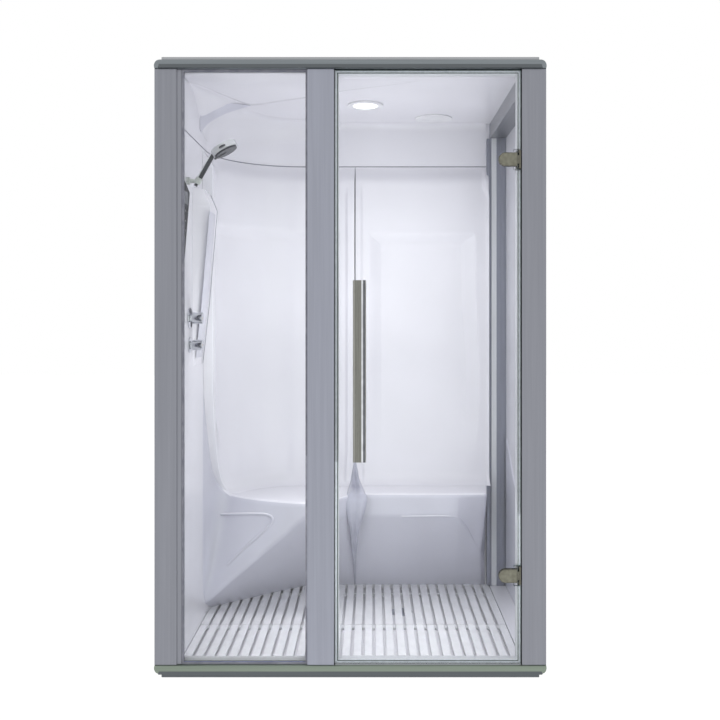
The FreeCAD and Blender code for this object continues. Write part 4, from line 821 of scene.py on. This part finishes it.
class CabinBackrests(bpy.types.Operator):
    """Model the moulded backrests that line the back wall and the rounded corner"""
    bl_idname = "cabin.backrests"
    bl_label = "Backrests"

    def execute(self, context):
        sizes = context.scene.cabin_sizes
        sizes = sizes.rim / MM, sizes.recess / MM
        for name, edges, panel, top, place in (
                ("left_backrest", self.left_edges, self.left_panel, 1692, left_wall_point),
                ("right_backrest", self.right_edges, self.right_panel, 1674,
                 right_wall_point)):
            rows = backrest_rows(edges, panel, top, sizes, place)
            fit(skin(name, rows, 0.4, (0, 0, 1200), 40), "acrylic", "white_acrylic")
        return {"FINISHED"}

    def left_edges(self, high):
        """The near rim's edge, and the far rim's edge with how much of that rim stands: the
        scoop draws in towards its foot, where the wing of the seat takes over."""
        edge, share = 884 - value_at(SCOOP, high), 0.45 * smooth((high - 900) / 250)
        return 37 + 6 * smooth((700 - high) / 120), (edge, share), edge + 21

    def left_panel(self, high):
        """The sunk panel's borders; the far one stays inside the scoop's foot."""
        far = min(792, self.left_edges(high)[1][0] - 12)
        return 66, 124, far - 52, far

    def right_edges(self, high):
        """The same on the right, where the far rim runs straight and bends at its top."""
        edge = 586 + 18 * smooth((1880 - high) / 45)
        return 29 + 6 * smooth((700 - high) / 120), (edge, 0.8), 614

    def right_panel(self, high):
        """The sunk panel's borders; the right one bows out at mid height."""
        bow = smooth((1500 - high) / 500) if high > 989 else smooth((high - 560) / 400)
        return 64, 117, 484 + 24 * bow, 545 + 20 * bow


# How the studio camera sees the front of the frame in its 720 x 720 picture: the pixel straight
# ahead of the eye, the pixels for a millimetre, and that front's place along Y.
AHEAD, SCALE, FRAME_FRONT = (372, 316), 0.28, -445


def on_surface(obj, px, py):
    """The place on a piece, in millimetres, that the studio camera sees at a pixel."""
    eye = Vector(EYE)
    aim = Vector(((px - AHEAD[0]) / SCALE, FRAME_FRONT - eye.y, (AHEAD[1] - py) / SCALE))
    found, spot, _, _ = obj.ray_cast(eye * MM, aim.normalized())
    if not found:
        raise RuntimeError("no surface of %s at pixel %s, %s" % (obj.name, px, py))
    return spot / MM


def bead(name, points, radius, sides=4, order=3):
    """A round bead along a smooth line."""
    deselect()
    curve = bpy.data.curves.new(name, "CURVE")
    curve.dimensions, curve.bevel_depth, curve.bevel_resolution = "3D", radius * MM, sides
    curve.use_fill_caps = True
    spline = curve.splines.new("NURBS")
    spline.points.add(len(points) - 1)
    for point, place in zip(spline.points, points):
        point.co = (*(Vector(place) * MM), 1)
    spline.order_u, spline.use_endpoint_u, spline.resolution_u = order, True, 6
    obj = bpy.data.objects.new(name, curve)
    bpy.context.collection.objects.link(obj)
    activate(obj)
    bpy.ops.object.convert(target="MESH")
    obj = bpy.context.object
    bpy.ops.object.shade_smooth_by_angle(angle=math.radians(50))
    return obj


def joined(name, *pieces):
    """Several meshes as one piece, each keeping its own finish."""
    deselect()
    for piece in pieces:
        piece.select_set(True)
    bpy.context.view_layer.objects.active = pieces[0]
    bpy.ops.object.join()
    obj = bpy.context.object
    obj.name = obj.data.name = name
    return obj


# Sections across the left seat, from its wing on the left wall to the seam. Each has four
# points: where the top meets the wall, the front edge, the fold in the front, and the foot.
LEFT_SEAT = (
    # back                  edge                  fold                  foot
    ((-615, -8, 1000), (-613, -8, 1000), (-613.5, -12, 900), (-616, -12, 900)),
    ((-615, 45, 880), (-611, 45, 880), (-612.5, -12, 700), (-616, -12, 700)),
    ((-614, 101, 771), (-606, 101, 771), (-612, -12, 500), (-616, -12, 500)),
    ((-606, 148, 640), (-595, 140, 640), (-611.5, -11, 300), (-616, -11, 300)),
    ((-590, 190, 575), (-572, 160, 573), (-611, -4, 165), (-615, -4, 165)),
    ((-535, 284, 531), (-528, 142, 538), (-609, 33, 110), (-612, 123, 60)),
    ((-479, 349, 530), (-479, 105, 531), (-520, 27, 187), (-505, 204, 60)),
    ((-380, 409, 530), (-380, 50, 530), (-405, 15, 287), (-395, 287, 60)),
    ((-280, 435, 530), (-280, 8, 530), (-295, 2, 382), (-290, 366, 60)),
    ((-188, 435, 530), (-188, -10, 530), (-188, -10, 474), (-190, 423, 60)),
    ((-110, 435, 530), (-110, 12, 530), (-110, 12, 470), (-110, 427, 60)),
    ((-44, 435, 530), (-48, 95, 530), (-48, 97, 452), (-44, 427, 60)),
    ((-12, 435, 530), (-22, 126, 529), (-22, 130, 446), (-24, 427, 60)),
    ((-1, 435, 530), (-1, 150, 528), (-1, 155, 440), (-1, 427, 60)),
)
# The same for the right seat, from the seam to the right wall.
RIGHT_SEAT = (
    ((1, 435, 530), (1, 150, 528), (1, 155, 440), (1, 427, 60)),
    ((12, 435, 530), (22, 163, 529), (22, 168, 438), (24, 427, 60)),
    ((40, 435, 530), (46, 166, 530), (46, 171, 436), (46, 427, 60)),
    ((120, 435, 530), (120, 166, 530), (120, 171, 436), (120, 427, 60)),
    ((240, 435, 530), (240, 166, 530), (240, 171, 436), (240, 427, 60)),
    ((360, 435, 530), (360, 166, 530), (360, 171, 436), (360, 427, 60)),
    ((440, 435, 530), (440, 166, 530), (434, 171, 436), (440, 427, 60)),
    ((464, 435, 530), (464, 166, 530), (464, 196, 402), (464, 427, 60)),
    ((520, 435, 530), (520, 166, 530), (520, 272, 312), (520, 427, 60)),
    ((590, 435, 530), (556, 166, 530), (552, 318, 255), (560, 427, 60)),
    ((603, 435, 529), (569, 172, 527), (564, 335, 240), (576, 427, 60)),
    ((606, 435, 522), (573, 190, 515), (570, 352, 226), (582, 427, 60)),
    ((607, 435, 500), (590, 320, 480), (588, 396, 190), (596, 431, 60)),
)


# The bent line in each seat's front: its name, the pixels it is seen at, how deep its middle
# lies behind the face, and its radius.
SEAT_LINES = {
    "left_seat": ("seat_ridge", ((221, 514.5), (240, 514), (258, 514), (268, 514.5), (274, 519),
                                 (268, 527), (255, 539), (240, 552), (227, 565)), 1.5, 6.5),
    "right_seat": ("seat_crease", ((402, 516.5), (430, 516), (452, 516), (460, 518),
                                   (466, 526), (472, 538), (483, 560)), 0, 3.4),
}


class CabinSeats(bpy.types.Operator):
    """Model the two seats: the left one with its wing up the wall, the right one, and the
    rounded ends that meet at the seam"""
    bl_idname = "cabin.seats"
    bl_label = "Seats"

    def execute(self, context):
        edge = context.scene.cabin_sizes.seat_edge / MM
        for name, lines, fold in (("left_seat", LEFT_SEAT, 20), ("right_seat", RIGHT_SEAT, 14)):
            runs = [through(run, 5) for run in zip(*lines)]
            rows = [soften(section, (edge * 1.6, fold)) for section in zip(*runs)]
            seat = skin(name + "_moulding", rows, 4, BEFORE_SEATS, 60)
            seat = joined(seat.name, seat, self.bent_line(seat, *SEAT_LINES[name]))
            # Faces that don't look up take the greyer acrylic, painted as the shade on the seat
            # fronts.
            two_tone(seat, "acrylic", "front", lambda face: face.normal.z <= 0.7)
            hand_over(seat, "cabin", "white_acrylic", name)
        self.seam_flare()
        return {"FINISHED"}

    def seam_flare(self):
        """The grooved cover over the seam: it widens down the wall and across the seats to
        their edge, and draws in again down their front. Its two ridges catch the light."""
        # middle of the cover, the way it faces, half its width
        spine = (((0, 384, 650), (0, -1, 0), 3), ((0, 383, 610), (0, -1, 0), 9),
                 ((0, 378, 570), (0, -1, 0.2), 17), ((2, 362, 547), (0, -1, 0.7), 24),
                 ((4, 330, 537), (0, -0.3, 1), 31), ((6, 270, 535), (0, 0, 1), 37),
                 ((9, 190, 534), (0, -0.1, 1), 42),
                 ((11, 146, 531), (0, -0.7, 1), 45), ((11, 120, 516), (0, -1, 0.5), 46),
                 ((9, 110, 480), (0, -1, 0), 42), ((6, 116, 430), (0, -1, -0.2), 32),
                 ((3, 160, 370), (0, -1, -0.5), 20), ((1, 235, 280), (0, -1, -0.7), 12),
                 ((0, 318, 187), (0, -1, -0.7), 6), ((0, 425, 62), (0, -1, -0.7), 4))
        runs = [through(run, 4) for run in zip(*((spot, facing, (half, 0, 0))
                                                 for spot, facing, half in spine))]
        rows = []
        for spot, facing, (half, _, _) in zip(*runs):
            out = Vector(facing).normalized()
            row = []
            for across, rise in ((-1, -8), (-0.88, -1.5), (-0.68, 3), (-0.5, 4.5), (-0.3, 3),
                                 (-0.12, -1), (0, -2.5), (0.12, -1), (0.3, 3), (0.5, 4.5),
                                 (0.68, 3), (0.88, -1.5), (1, -8)):
                lift = rise * min(1, half / 22)
                row.append(Vector(spot) + Vector((across * half, 0, 0)) + out * lift)
            rows.append(row)
        # The cover's greyer acrylic is painted shade.
        fit(skin("seam_flare", rows, 1.5, BEFORE_SEATS, 60), "cover", "white_acrylic")

    def bent_line(self, seat, name, pixels, deep, radius):
        """The raised bent line across a seat's front."""
        spots = [on_surface(seat, *pixel) + Vector((0, deep, 0)) for pixel in pixels]
        return bead(name, spots, radius)


def ceiling_cove(along_y):
    """Radius of the cove on the left wall: none at the front, growing towards the back."""
    return max(4.0, 150 * smooth((along_y + 270) / 330))


class CabinRoof(bpy.types.Operator):
    """Model the cove round the roof, the lower front part of the roof and the joint line"""
    bl_idname = "cabin.roof"
    bl_label = "Roof"

    def execute(self, context):
        cove = self.cove()
        front = self.front_step()
        # The corner facet takes the greyer acrylic, painted as its shade.
        fit(self.corner_facet(), "front", "white_acrylic")
        joint = self.joint()
        fit(cove, "acrylic", "white_acrylic")
        fit(front, "acrylic", "white_acrylic")
        fit(joint, "joint", "clear_seal")
        return {"FINISHED"}

    def cove(self):
        """The rounding between the ceiling and the left, rounded and back walls."""
        columns = []                         # place on the wall, direction inward, radius
        for y in range(-394, 60, 24):
            columns.append(((-612.6, y), (1, 0), ceiling_cove(y)))
        for step in range(19):
            turn = math.radians(5 * step)
            spot = (-238 - 374.6 * math.cos(turn), 60 + 374.6 * math.sin(turn))
            columns.append((spot, (math.cos(turn), -math.sin(turn)),
                            150 - 60 * smooth(step / 18)))
        for x in range(-200, 617, 40):
            columns.append(((x, 434.6), (0, -1), 30 + 60 * smooth((-60 - x) / 150)))
        rows = []
        steps = 8
        for spot, inward, radius in columns:
            row = []
            for step in range(steps + 1):
                turn = math.radians(90 / steps * step)
                out = radius * (1 - math.cos(turn))
                row.append((spot[0] + inward[0] * out, spot[1] + inward[1] * out,
                            CEILING - radius * (1 - math.sin(turn))))
            rows.append(row)
        return skin("roof_cove", rows, 2, MID_ROOM, 60)

    def front_step(self):
        """The lower front part of the ceiling, up to its curved rear edge."""
        edge = [(-611, -272), (-575, -236), (-505, -70), (-440, 58), (-400, 68), (-300, 10),
                (-185, -52), (-52, -144), (70, -204), (184, -259), (300, -318), (396, -366),
                (450, -380)]
        rows = []
        for x, y in through(edge, 4):
            row = [(x, -398, CEILING - 0.4), (x, -395, CEILING - 3)]
            row += [(x, -390 + (y + 396) * share, CEILING - 5) for share in (0, 0.3, 0.6, 0.88)]
            row += [(x, y - 6, CEILING - 4.6), (x, y - 2, CEILING - 3), (x, y, CEILING - 0.4)]
            rows.append(row)
        return skin("roof_front_step", rows, 1.5, MID_ROOM, 60)

    def corner_facet(self):
        """The slanted facet in the cove above the left wall, painted greyer as the shade that
        falls there.
        """
        upper = through(((-611, -74, 2040), (-611, -75, 2100), (-608, -74, 2148),
                         (-560, -30, 2168), (-500, 25, 2170), (-436, 66, 2171)), 3)
        lower = through(((-610, -52, 2033), (-604, -28, 2056), (-587, 11, 2089),
                         (-560, 55, 2120), (-528, 90, 2146), (-430, 70, 2170)), 3)
        rows = [[Vector(a).lerp(Vector(b), step / 4) for step in range(5)]
                for a, b in zip(upper, lower)]
        return skin("roof_corner_facet", rows, 1.5, MID_ROOM, 60)

    def joint(self):
        """The joint between the walls' top edge and the roof, from the left to the right."""
        line = [left_wall_point(along, 0.0, SHELL_TOP) for along in range(0, 1281, 32)]
        line = [(x, y, z) for x, y, z in reversed(line) if y > -397]
        line += [(x, ROOM["back"], SHELL_TOP) for x in range(30, 601, 57)]
        line.append((ROOM["right"] - 1, ROOM["back"], SHELL_TOP))
        return bead("roof_joint_seal", line, 2.2, 2)


class CabinFrameDetail(bpy.types.Operator):
    """Model the strips painted darker as shade along the rails, the ribs of the rear post, the
    lips of the door's gasket and the side moulding"""
    bl_idname = "cabin.frame_detail"
    bl_label = "Frame Detail"

    def execute(self, context):
        self.rail_shade_strips()
        self.post_ribs()
        self.gasket_lips()
        self.side_moulding()
        return {"FINISHED"}

    def rail_shade_strips(self):
        """A strip painted darker as shade along the top rail and the bottom rail, rounded at its
        front.
        """
        top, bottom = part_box("top_rail"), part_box("bottom_rail")
        for name, box, low, high in (("top_rail_painted_shade", top, 2178, 2191),
                                     ("bottom_rail_painted_shade", bottom, 15, 27)):
            front = box[0][1] / MM
            # A dark strip painted as the shade on the lower part of the rail's rounded front.
            strip = block(name, (-686, 686), (front - 0.5, front + 6), (low, high))
            pick(strip, "EDGE", lambda e: abs(e.verts[0].co.z - e.verts[1].co.z) > 0.005
                 and e.verts[0].co.y / MM < front)
            bpy.ops.mesh.bevel(offset=5 * MM, segments=5, affect="EDGES")
            fit(round_edges(strip, 1.2), "aluminium_lip", "anodised_aluminium")

    def post_ribs(self):
        """The flat ribs that run up the right rear post."""
        ribs = []
        # The first rib's paler aluminium is a painted highlight on the post.
        for x, y, coating in (((623, 646), (402.2, 405.4), "aluminium_light"),
                              ((662, 681), (402.2, 405.4), "aluminium_mullion"),
                              ((602, 618.4), (409, 433), "aluminium_mullion")):
            rib = round_edges(block("rib", x, y, (62, 2104)), 1.4)
            coat(rib, coating)
            ribs.append(rib)
        hand_over(joined("rear_post_ribs", *ribs), "cabin", "anodised_aluminium")

    def gasket_lips(self):
        """The two dark lips of the door's gasket that show as fine lines round the pane."""
        lips = []
        wide = 3
        for left, right, low, high, y in ((-57.6, 612.6, 46.6, 2175.4, (-432.2, -431.4)),
                                          (-47.5, 602.5, 56.5, 2165.5, (-433.7, -433.1))):
            for x, z in (((left, left + wide), (low, high)),
                         ((right - wide, right), (low, high)),
                         ((left + wide, right - wide), (low, low + wide)),
                         ((left + wide, right - wide), (high - wide, high))):
                lips.append(round_edges(block("lip", x, y, z), 0.25, 2))
        fit(joined("door_gasket_lips", *lips), "rubber", "clear_seal")

    def side_moulding(self):
        """The moulding low on the right wall, whose top edge rises towards the back, painted
        greyer as the shade low on that wall.
        """
        rows = []
        for y in range(-396, 404, 20):
            top = 566 + 176 * smooth((y - 60) / 345) ** 1.4
            rows.append(soften(((686, y, 61), (685, y, top - 12), (689.6, y, top)), (10,)))
        # The greyer acrylic here is painted shade.
        fit(skin("side_wall_moulding", rows, 0.3, (0, 0, 600), 60), "front", "white_acrylic")


# Where the bands of the handle's face begin along X, in millimetres: brushed steel, a painted
# highlight in chrome and a painted dark line in darker chrome.
HANDLE_BANDS = (16.5, 40, 46)


class CabinDoorFittings(bpy.types.Operator):
    """Model the pull handles with painted highlight and shade lines, and the hinge plates with
    raised caps painted as highlights
    """
    bl_idname = "cabin.door_fittings"
    bl_label = "Handles And Hinges"

    def execute(self, context):
        sides = (("outer", -1), ("inner", 1))
        for side, facing in sides:
            self.handle(side, facing)
        for side, facing in sides:
            self.hinge_caps(side, facing)
        return {"FINISHED"}

    def handle(self, side, facing):
        """A pull handle whose face has a brushed band, a painted highlight and a painted shade
        line up its length.
        """
        bar = traced(side + "_handle", side + "_handle_bar")
        slice_at(bar, 0, HANDLE_BANDS)
        round_edges(bar, 0.7, 2)
        coat(bar, "handle_side", "handle", "chrome", "handle_painted_shade")
        # The chrome and darker chrome bands are a painted highlight and a painted shade line.
        for face in bar.data.polygons:
            flat = face.normal.y * facing > 0.9
            band = sum(face.center.x / MM > begin for begin in HANDLE_BANDS)
            face.material_index = band if flat else 0
        hand_over(bar, "door", "handle_metal", side + "_handle")

    def hinge_caps(self, side, facing):
        """Hinge plates whose large faces are raised to caps, painted lighter as a highlight."""
        plates = traced("hinge_%s_plates" % side, "hinge_%s_caps" % side)
        pick(plates, "FACE", lambda f: f.normal.y * facing > 0.95 and f.calc_area() > 0.0005)
        bpy.ops.mesh.inset(thickness=3.5 * MM, depth=1.6 * MM)
        bpy.ops.object.mode_set(mode="OBJECT")
        # The lighter caps are a painted highlight.
        two_tone(plates, "hinge", "hinge_cap_highlight", lambda face: face.select)
        round_edges(plates, 0.7, 2)
        hand_over(plates, "door", "hinge_metal", "hinge_%s_plates" % side)


# The pixel of the 720 x 720 picture at which the hand shower's key is seen, and its tilt.
SPRAY_KEY, SPRAY_KEY_TILT = (222.5, 147), math.radians(29)


class CabinHandShower(bpy.types.Operator):
    """Model the hand shower: a dark grip with a light back, a pale head and its spray key"""
    bl_idname = "cabin.hand_shower"
    bl_label = "Hand Shower"

    def execute(self, context):
        shower = round_edges(traced("hand_shower", "hand_shower_body"), 1.5)
        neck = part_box("hand_shower")[1][2] - 0.05
        two_tone(shower, "shower", "dark",
                 lambda face: face.center.z < neck and face.normal.x > -0.35)
        key = disc("spray_key", (0, 0, 0), (0, 0, 1), 13, 5, 24)
        spot = on_surface(shower, *SPRAY_KEY) * MM
        activate(key)
        bpy.ops.object.mode_set(mode="EDIT")
        bpy.ops.mesh.select_all(action="SELECT")
        bpy.ops.transform.rotate(value=SPRAY_KEY_TILT, orient_axis="Y",
                                 center_override=(0, 0, 0))
        bpy.ops.transform.translate(value=spot)
        round_edges(key, 1.2, 2)
        coat(key, "dark")
        hand_over(joined("hand_shower_body", shower, key), "hand_shower", "shower_plastic",
                  "hand_shower")
        return {"FINISHED"}


# How far the console stands out of the left wall at each height, in millimetres.
CONSOLE_BULGE = ((1100, 3), (1344, 30), (1720, 62), (1788, 34))
# The control panel's keys: the place of each along Y and Z, whether a ring goes round its sign,
# and the sign's bars, each by its middle and half its width and height. None of them is a word.
KEYS = (
    (-380, 1680, True, ((0, 3, 0.6, 3),)),
    (-352, 1680, False, ((0, 0, 4, 0.6), (0, 0, 0.6, 4))),
    (-324, 1680, True, ((0, 0, 4, 0.6),)),
    (-380, 1644, False, ((-2.6, 0, 0.6, 3), (0, 0, 0.6, 4), (2.6, 0, 0.6, 3))),
    (-352, 1644, False, ((0, 2.6, 3, 0.6), (0, 0, 3, 0.6), (0, -2.6, 3, 0.6))),
    (-380, 1608, True, ((0, 0, 1.8, 1.8),)),
    (-354, 1608, False, ((-2, 0, 0.6, 4), (2, 0, 0.6, 4))),
    (-380, 1572, True, ((0, -2.6, 4, 0.6),)),
)


class CabinControls(bpy.types.Operator):
    """Model the console's sunk face and joint, and the control panel's display and keys"""
    bl_idname = "cabin.controls"
    bl_label = "Console And Controls"

    def execute(self, context):
        self.console_face()
        self.console_joint()
        self.keys()
        return {"FINISHED"}

    def console_face(self):
        """The greyer face of the console, narrower at both ends."""
        rows = []
        steps = 30
        for step in range(steps + 1):
            high = 1130 + 19 * step
            narrow = 6 * (1 - smooth(min(step, steps - step) / 3))
            front = ROOM["left"] + value_at(CONSOLE_BULGE, high)
            row = [(-186 + narrow, 0.2), (-184 + narrow, 1.2), (-181 + narrow, 1.7),
                   (-120, 1.7), (-61 - narrow, 1.7), (-58 - narrow, 1.2), (-56 - narrow, 0.2)]
            rows.append([(front + out, y, high) for y, out in row])
        fit(skin("console_face", rows, 0.4, (500, -120, 1500), 60), "front", "white_acrylic")

    def console_joint(self):
        """The joint down the console's rear edge."""
        edge = [(ROOM["left"] + value_at(CONSOLE_BULGE, high) - 0.6, -20.5, high)
                for high in (1102, 1180, 1260, 1344, 1440, 1540, 1640, 1719, 1745, 1786)]
        fit(bead("console_joint", edge, 1.1, 2, 2), "joint", "clear_seal")

    def keys(self):
        """The display window and the keys with their printed signs."""
        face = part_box("control_panel")[1][0] / MM
        window = block("window", (face - 0.4, face + 0.3), (-388, -306), (1706, 1754))
        round_edges(window, 0.2, 2)
        coat(window, "display")
        pieces = [window]
        back = face - 0.4
        for y, z, ringed, bars in KEYS:
            key = round_edges(disc("key", (back, y, z), (1, 0, 0), 10, 0.75, 32), 0.3, 2)
            coat(key, "panel")
            pieces += [key, *self.sign(back + 0.6, y, z, ringed, bars)]
        hand_over(joined("control_keys", *pieces), "cabin", "dark_panel")

    def sign(self, x, y, z, ringed, bars):
        """A plain printed sign on a key."""
        made = [block("sign", (x, x + 0.25), (y + a - wide, y + a + wide),
                      (z + b - high, z + b + high)) for a, b, wide, high in bars]
        if ringed:
            made.append(ring("sign", (x - 0.2, y, z), 6, 0.4, (32, 6), (0, math.pi / 2, 0)))
        for piece in made:
            coat(piece, "print")
        return made


class CabinCovers(bpy.types.Operator):
    """Round the edges of the tray, mats, console, control panel and the plant's covers"""
    bl_idname = "cabin.covers"
    bl_label = "Tray, Mats And Covers"

    def execute(self, context):
        sizes = context.scene.cabin_sizes
        slat, cover = sizes.slat_edge / MM, sizes.panel_edge / MM
        for node, body, slot, width in (
                ("floor_tray", "cabin", "white_acrylic", 2.5),
                ("rear_floor_mat", "cabin", "mat_plastic", slat),
                ("front_floor_mat", "front_mat", "mat_plastic", slat),
                ("wall_console", "cabin", "white_acrylic", 1.2),
                ("control_panel", "cabin", "dark_panel", 1.0),
                ("control_box", "cabin", "grey_plastic", cover),
                ("downlight_body", "cabin", "light_body", 1.0),
                ("ceiling_speaker", "cabin", "white_acrylic", 1.0),
                ("shower_holder", "shower_holder", "shower_plastic", 0.8),
                ("shower_holder_base", "cabin", "shower_plastic", 1.5),
                ("thermostat_knob", "thermostat_knob", "chrome", 1.2),
                ("diverter_knob", "diverter_knob", "chrome", 1.2),
                ("tap_wall_plates", "cabin", "chrome", 1.2)):
            refine(node, node + "_finished", body, slot, width)
        return {"FINISHED"}


class CabinShells(bpy.types.Operator):
    """Give the moulded shells their rough glass-fibre backs and the ribs laid up on them"""
    bl_idname = "cabin.shells"
    bl_label = "Shell Backs"

    def execute(self, context):
        middle = Vector((0, 0, 1.1))
        for node in ("left_back_shell", "right_back_shell", "right_side_shell", "roof_shell"):
            shell = round_edges(traced(node, node + "_sheet"), 0.8, 2)
            two_tone(shell, "acrylic", "laminate",
                     lambda face: face.normal.dot(middle - face.center) < 0)
            hand_over(shell, "cabin", "white_acrylic", node)
        self.ribs()
        return {"FINISHED"}

    def ribs(self):
        """Ribs across the backs of the walls and over the roof."""
        lines = []
        for high in (620, 980, 1340, 1860):
            lines += [((-215, 449, high), (-110, 449, high), (-22, 449, high)),
                      ((22, 449, high), (300, 449, high), (606, 449, high))]
        for high in (620, 1900):
            lines.append(((-627, -380, high), (-627, -170, high), (-627, 40, high)))
        for x in (-420, -170, 200, 560):
            lines.append(((x, -380, 2190), (x, 0, 2190), (x, 425, 2190)))
        ribs = joined("laminate_ribs", *(bead("rib", line, 13) for line in lines))
        fit(ribs, "laminate", "white_acrylic")


class CabinPlant(bpy.types.Operator):
    """Model the bolts and bands of the steam tank, and the control box's lid, screws and glands
    """
    bl_idname = "cabin.plant"
    bl_label = "Steam Plant"

    def execute(self, context):
        self.tank_trim()
        self.box_lid()
        return {"FINISHED"}

    def tank_trim(self):
        """Eight bolts on the steam tank's lid and two bands round the tank."""
        low, high = in_mm(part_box("tank_lid"))
        centre = (low[0] + high[0]) / 2, (low[1] + high[1]) / 2
        reach = (high[0] - low[0]) / 2 - 9
        pieces = []
        for turn in range(8):
            angle = math.radians(45 * turn + 22.5)
            spot = (centre[0] + reach * math.cos(angle), centre[1] + reach * math.sin(angle),
                    high[2] - 1)
            pieces.append(round_edges(disc("bolt", spot, (0, 0, 1), 5, 5, 6), 0.5, 2))
        low, high = in_mm(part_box("steam_tank"))
        for z in (low[2] + 50, high[2] - 55):
            pieces.append(ring("band", (*centre, z), (high[0] - low[0]) / 2, 3, (64, 8)))
        steel = joined("tank_bolts", *pieces)
        coat(steel, "steel")
        bpy.ops.object.shade_smooth_by_angle(angle=math.radians(40))
        hand_over(steel, "cabin", "steel")

    def box_lid(self):
        """The control box's lid with its groove and screws, and the glands below the box."""
        low, high = in_mm(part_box("control_box"))
        rear = high[1]
        lid = round_edges(block("lid", (low[0] + 6, high[0] - 6), (rear - 1, rear + 4),
                                (low[2] + 6, high[2] - 6)), 2)
        pick(lid, "FACE", lambda f: f.normal.y > 0.95 and f.calc_area() > 0.01)
        bpy.ops.mesh.inset(thickness=14 * MM, depth=0)
        bpy.ops.mesh.inset(thickness=2 * MM, depth=-1.5 * MM)
        bpy.ops.object.mode_set(mode="OBJECT")
        coat(lid, "grey")
        pieces = [lid]
        for x in (low[0] + 15, high[0] - 15):
            for z in (low[2] + 15, high[2] - 15):
                screw = disc("screw", (x, rear + 3.5, z), (0, 1, 0), 4, 2.5, 24)
                coat(round_edges(screw, 0.8, 2), "steel")
                pieces.append(screw)
        for x in (low[0] + 45, high[0] - 45):
            gland = disc("gland", (x, (low[1] + rear) / 2, low[2] + 1), (0, 0, -1), 12, 12, 6)
            coat(round_edges(gland, 1, 2), "dark")
            pieces.append(gland)
        hand_over(joined("control_box_lid", *pieces), "cabin", "grey_plastic")


class CabinPanel(bpy.types.Panel):
    """Lists the steps that build the cabin"""
    bl_idname = "CABIN_PT_steps"
    bl_label = "Steam Shower Cabin"
    bl_space_type = "VIEW_3D"
    bl_region_type = "UI"
    bl_category = "Cabin"

    def draw(self, context):
        for step in STEPS:
            self.layout.operator(step.bl_idname)
        for group in (context.scene.cabin_sizes, context.scene.cabin_colours):
            for name in group.__annotations__:
                self.layout.prop(group, name)


STEPS = (CabinStage, CabinFinishes, CabinGlass, CabinProfiles, CabinBackrests, CabinSeats,
         CabinRoof, CabinFrameDetail, CabinDoorFittings, CabinHandShower, CabinControls,
         CabinCovers, CabinShells, CabinPlant)
CLASSES = (CabinSizes, CabinColours, *STEPS, CabinPanel)


def register():
    """Make the classes and the settings known to Blender."""
    for cls in CLASSES:
        bpy.utils.register_class(cls)
    bpy.types.Scene.cabin_sizes = bpy.props.PointerProperty(type=CabinSizes)
    bpy.types.Scene.cabin_colours = bpy.props.PointerProperty(type=CabinColours)


def unregister():
    """Take the settings and the classes out again."""
    del bpy.types.Scene.cabin_colours
    del bpy.types.Scene.cabin_sizes
    for cls in reversed(CLASSES):
        bpy.utils.unregister_class(cls)


def main():
    """Build the cabin step by step."""
    register()
    for step in STEPS:
        getattr(bpy.ops.cabin, step.bl_idname.split(".")[1])()
    deselect()


if __name__ == "__main__":
    main()
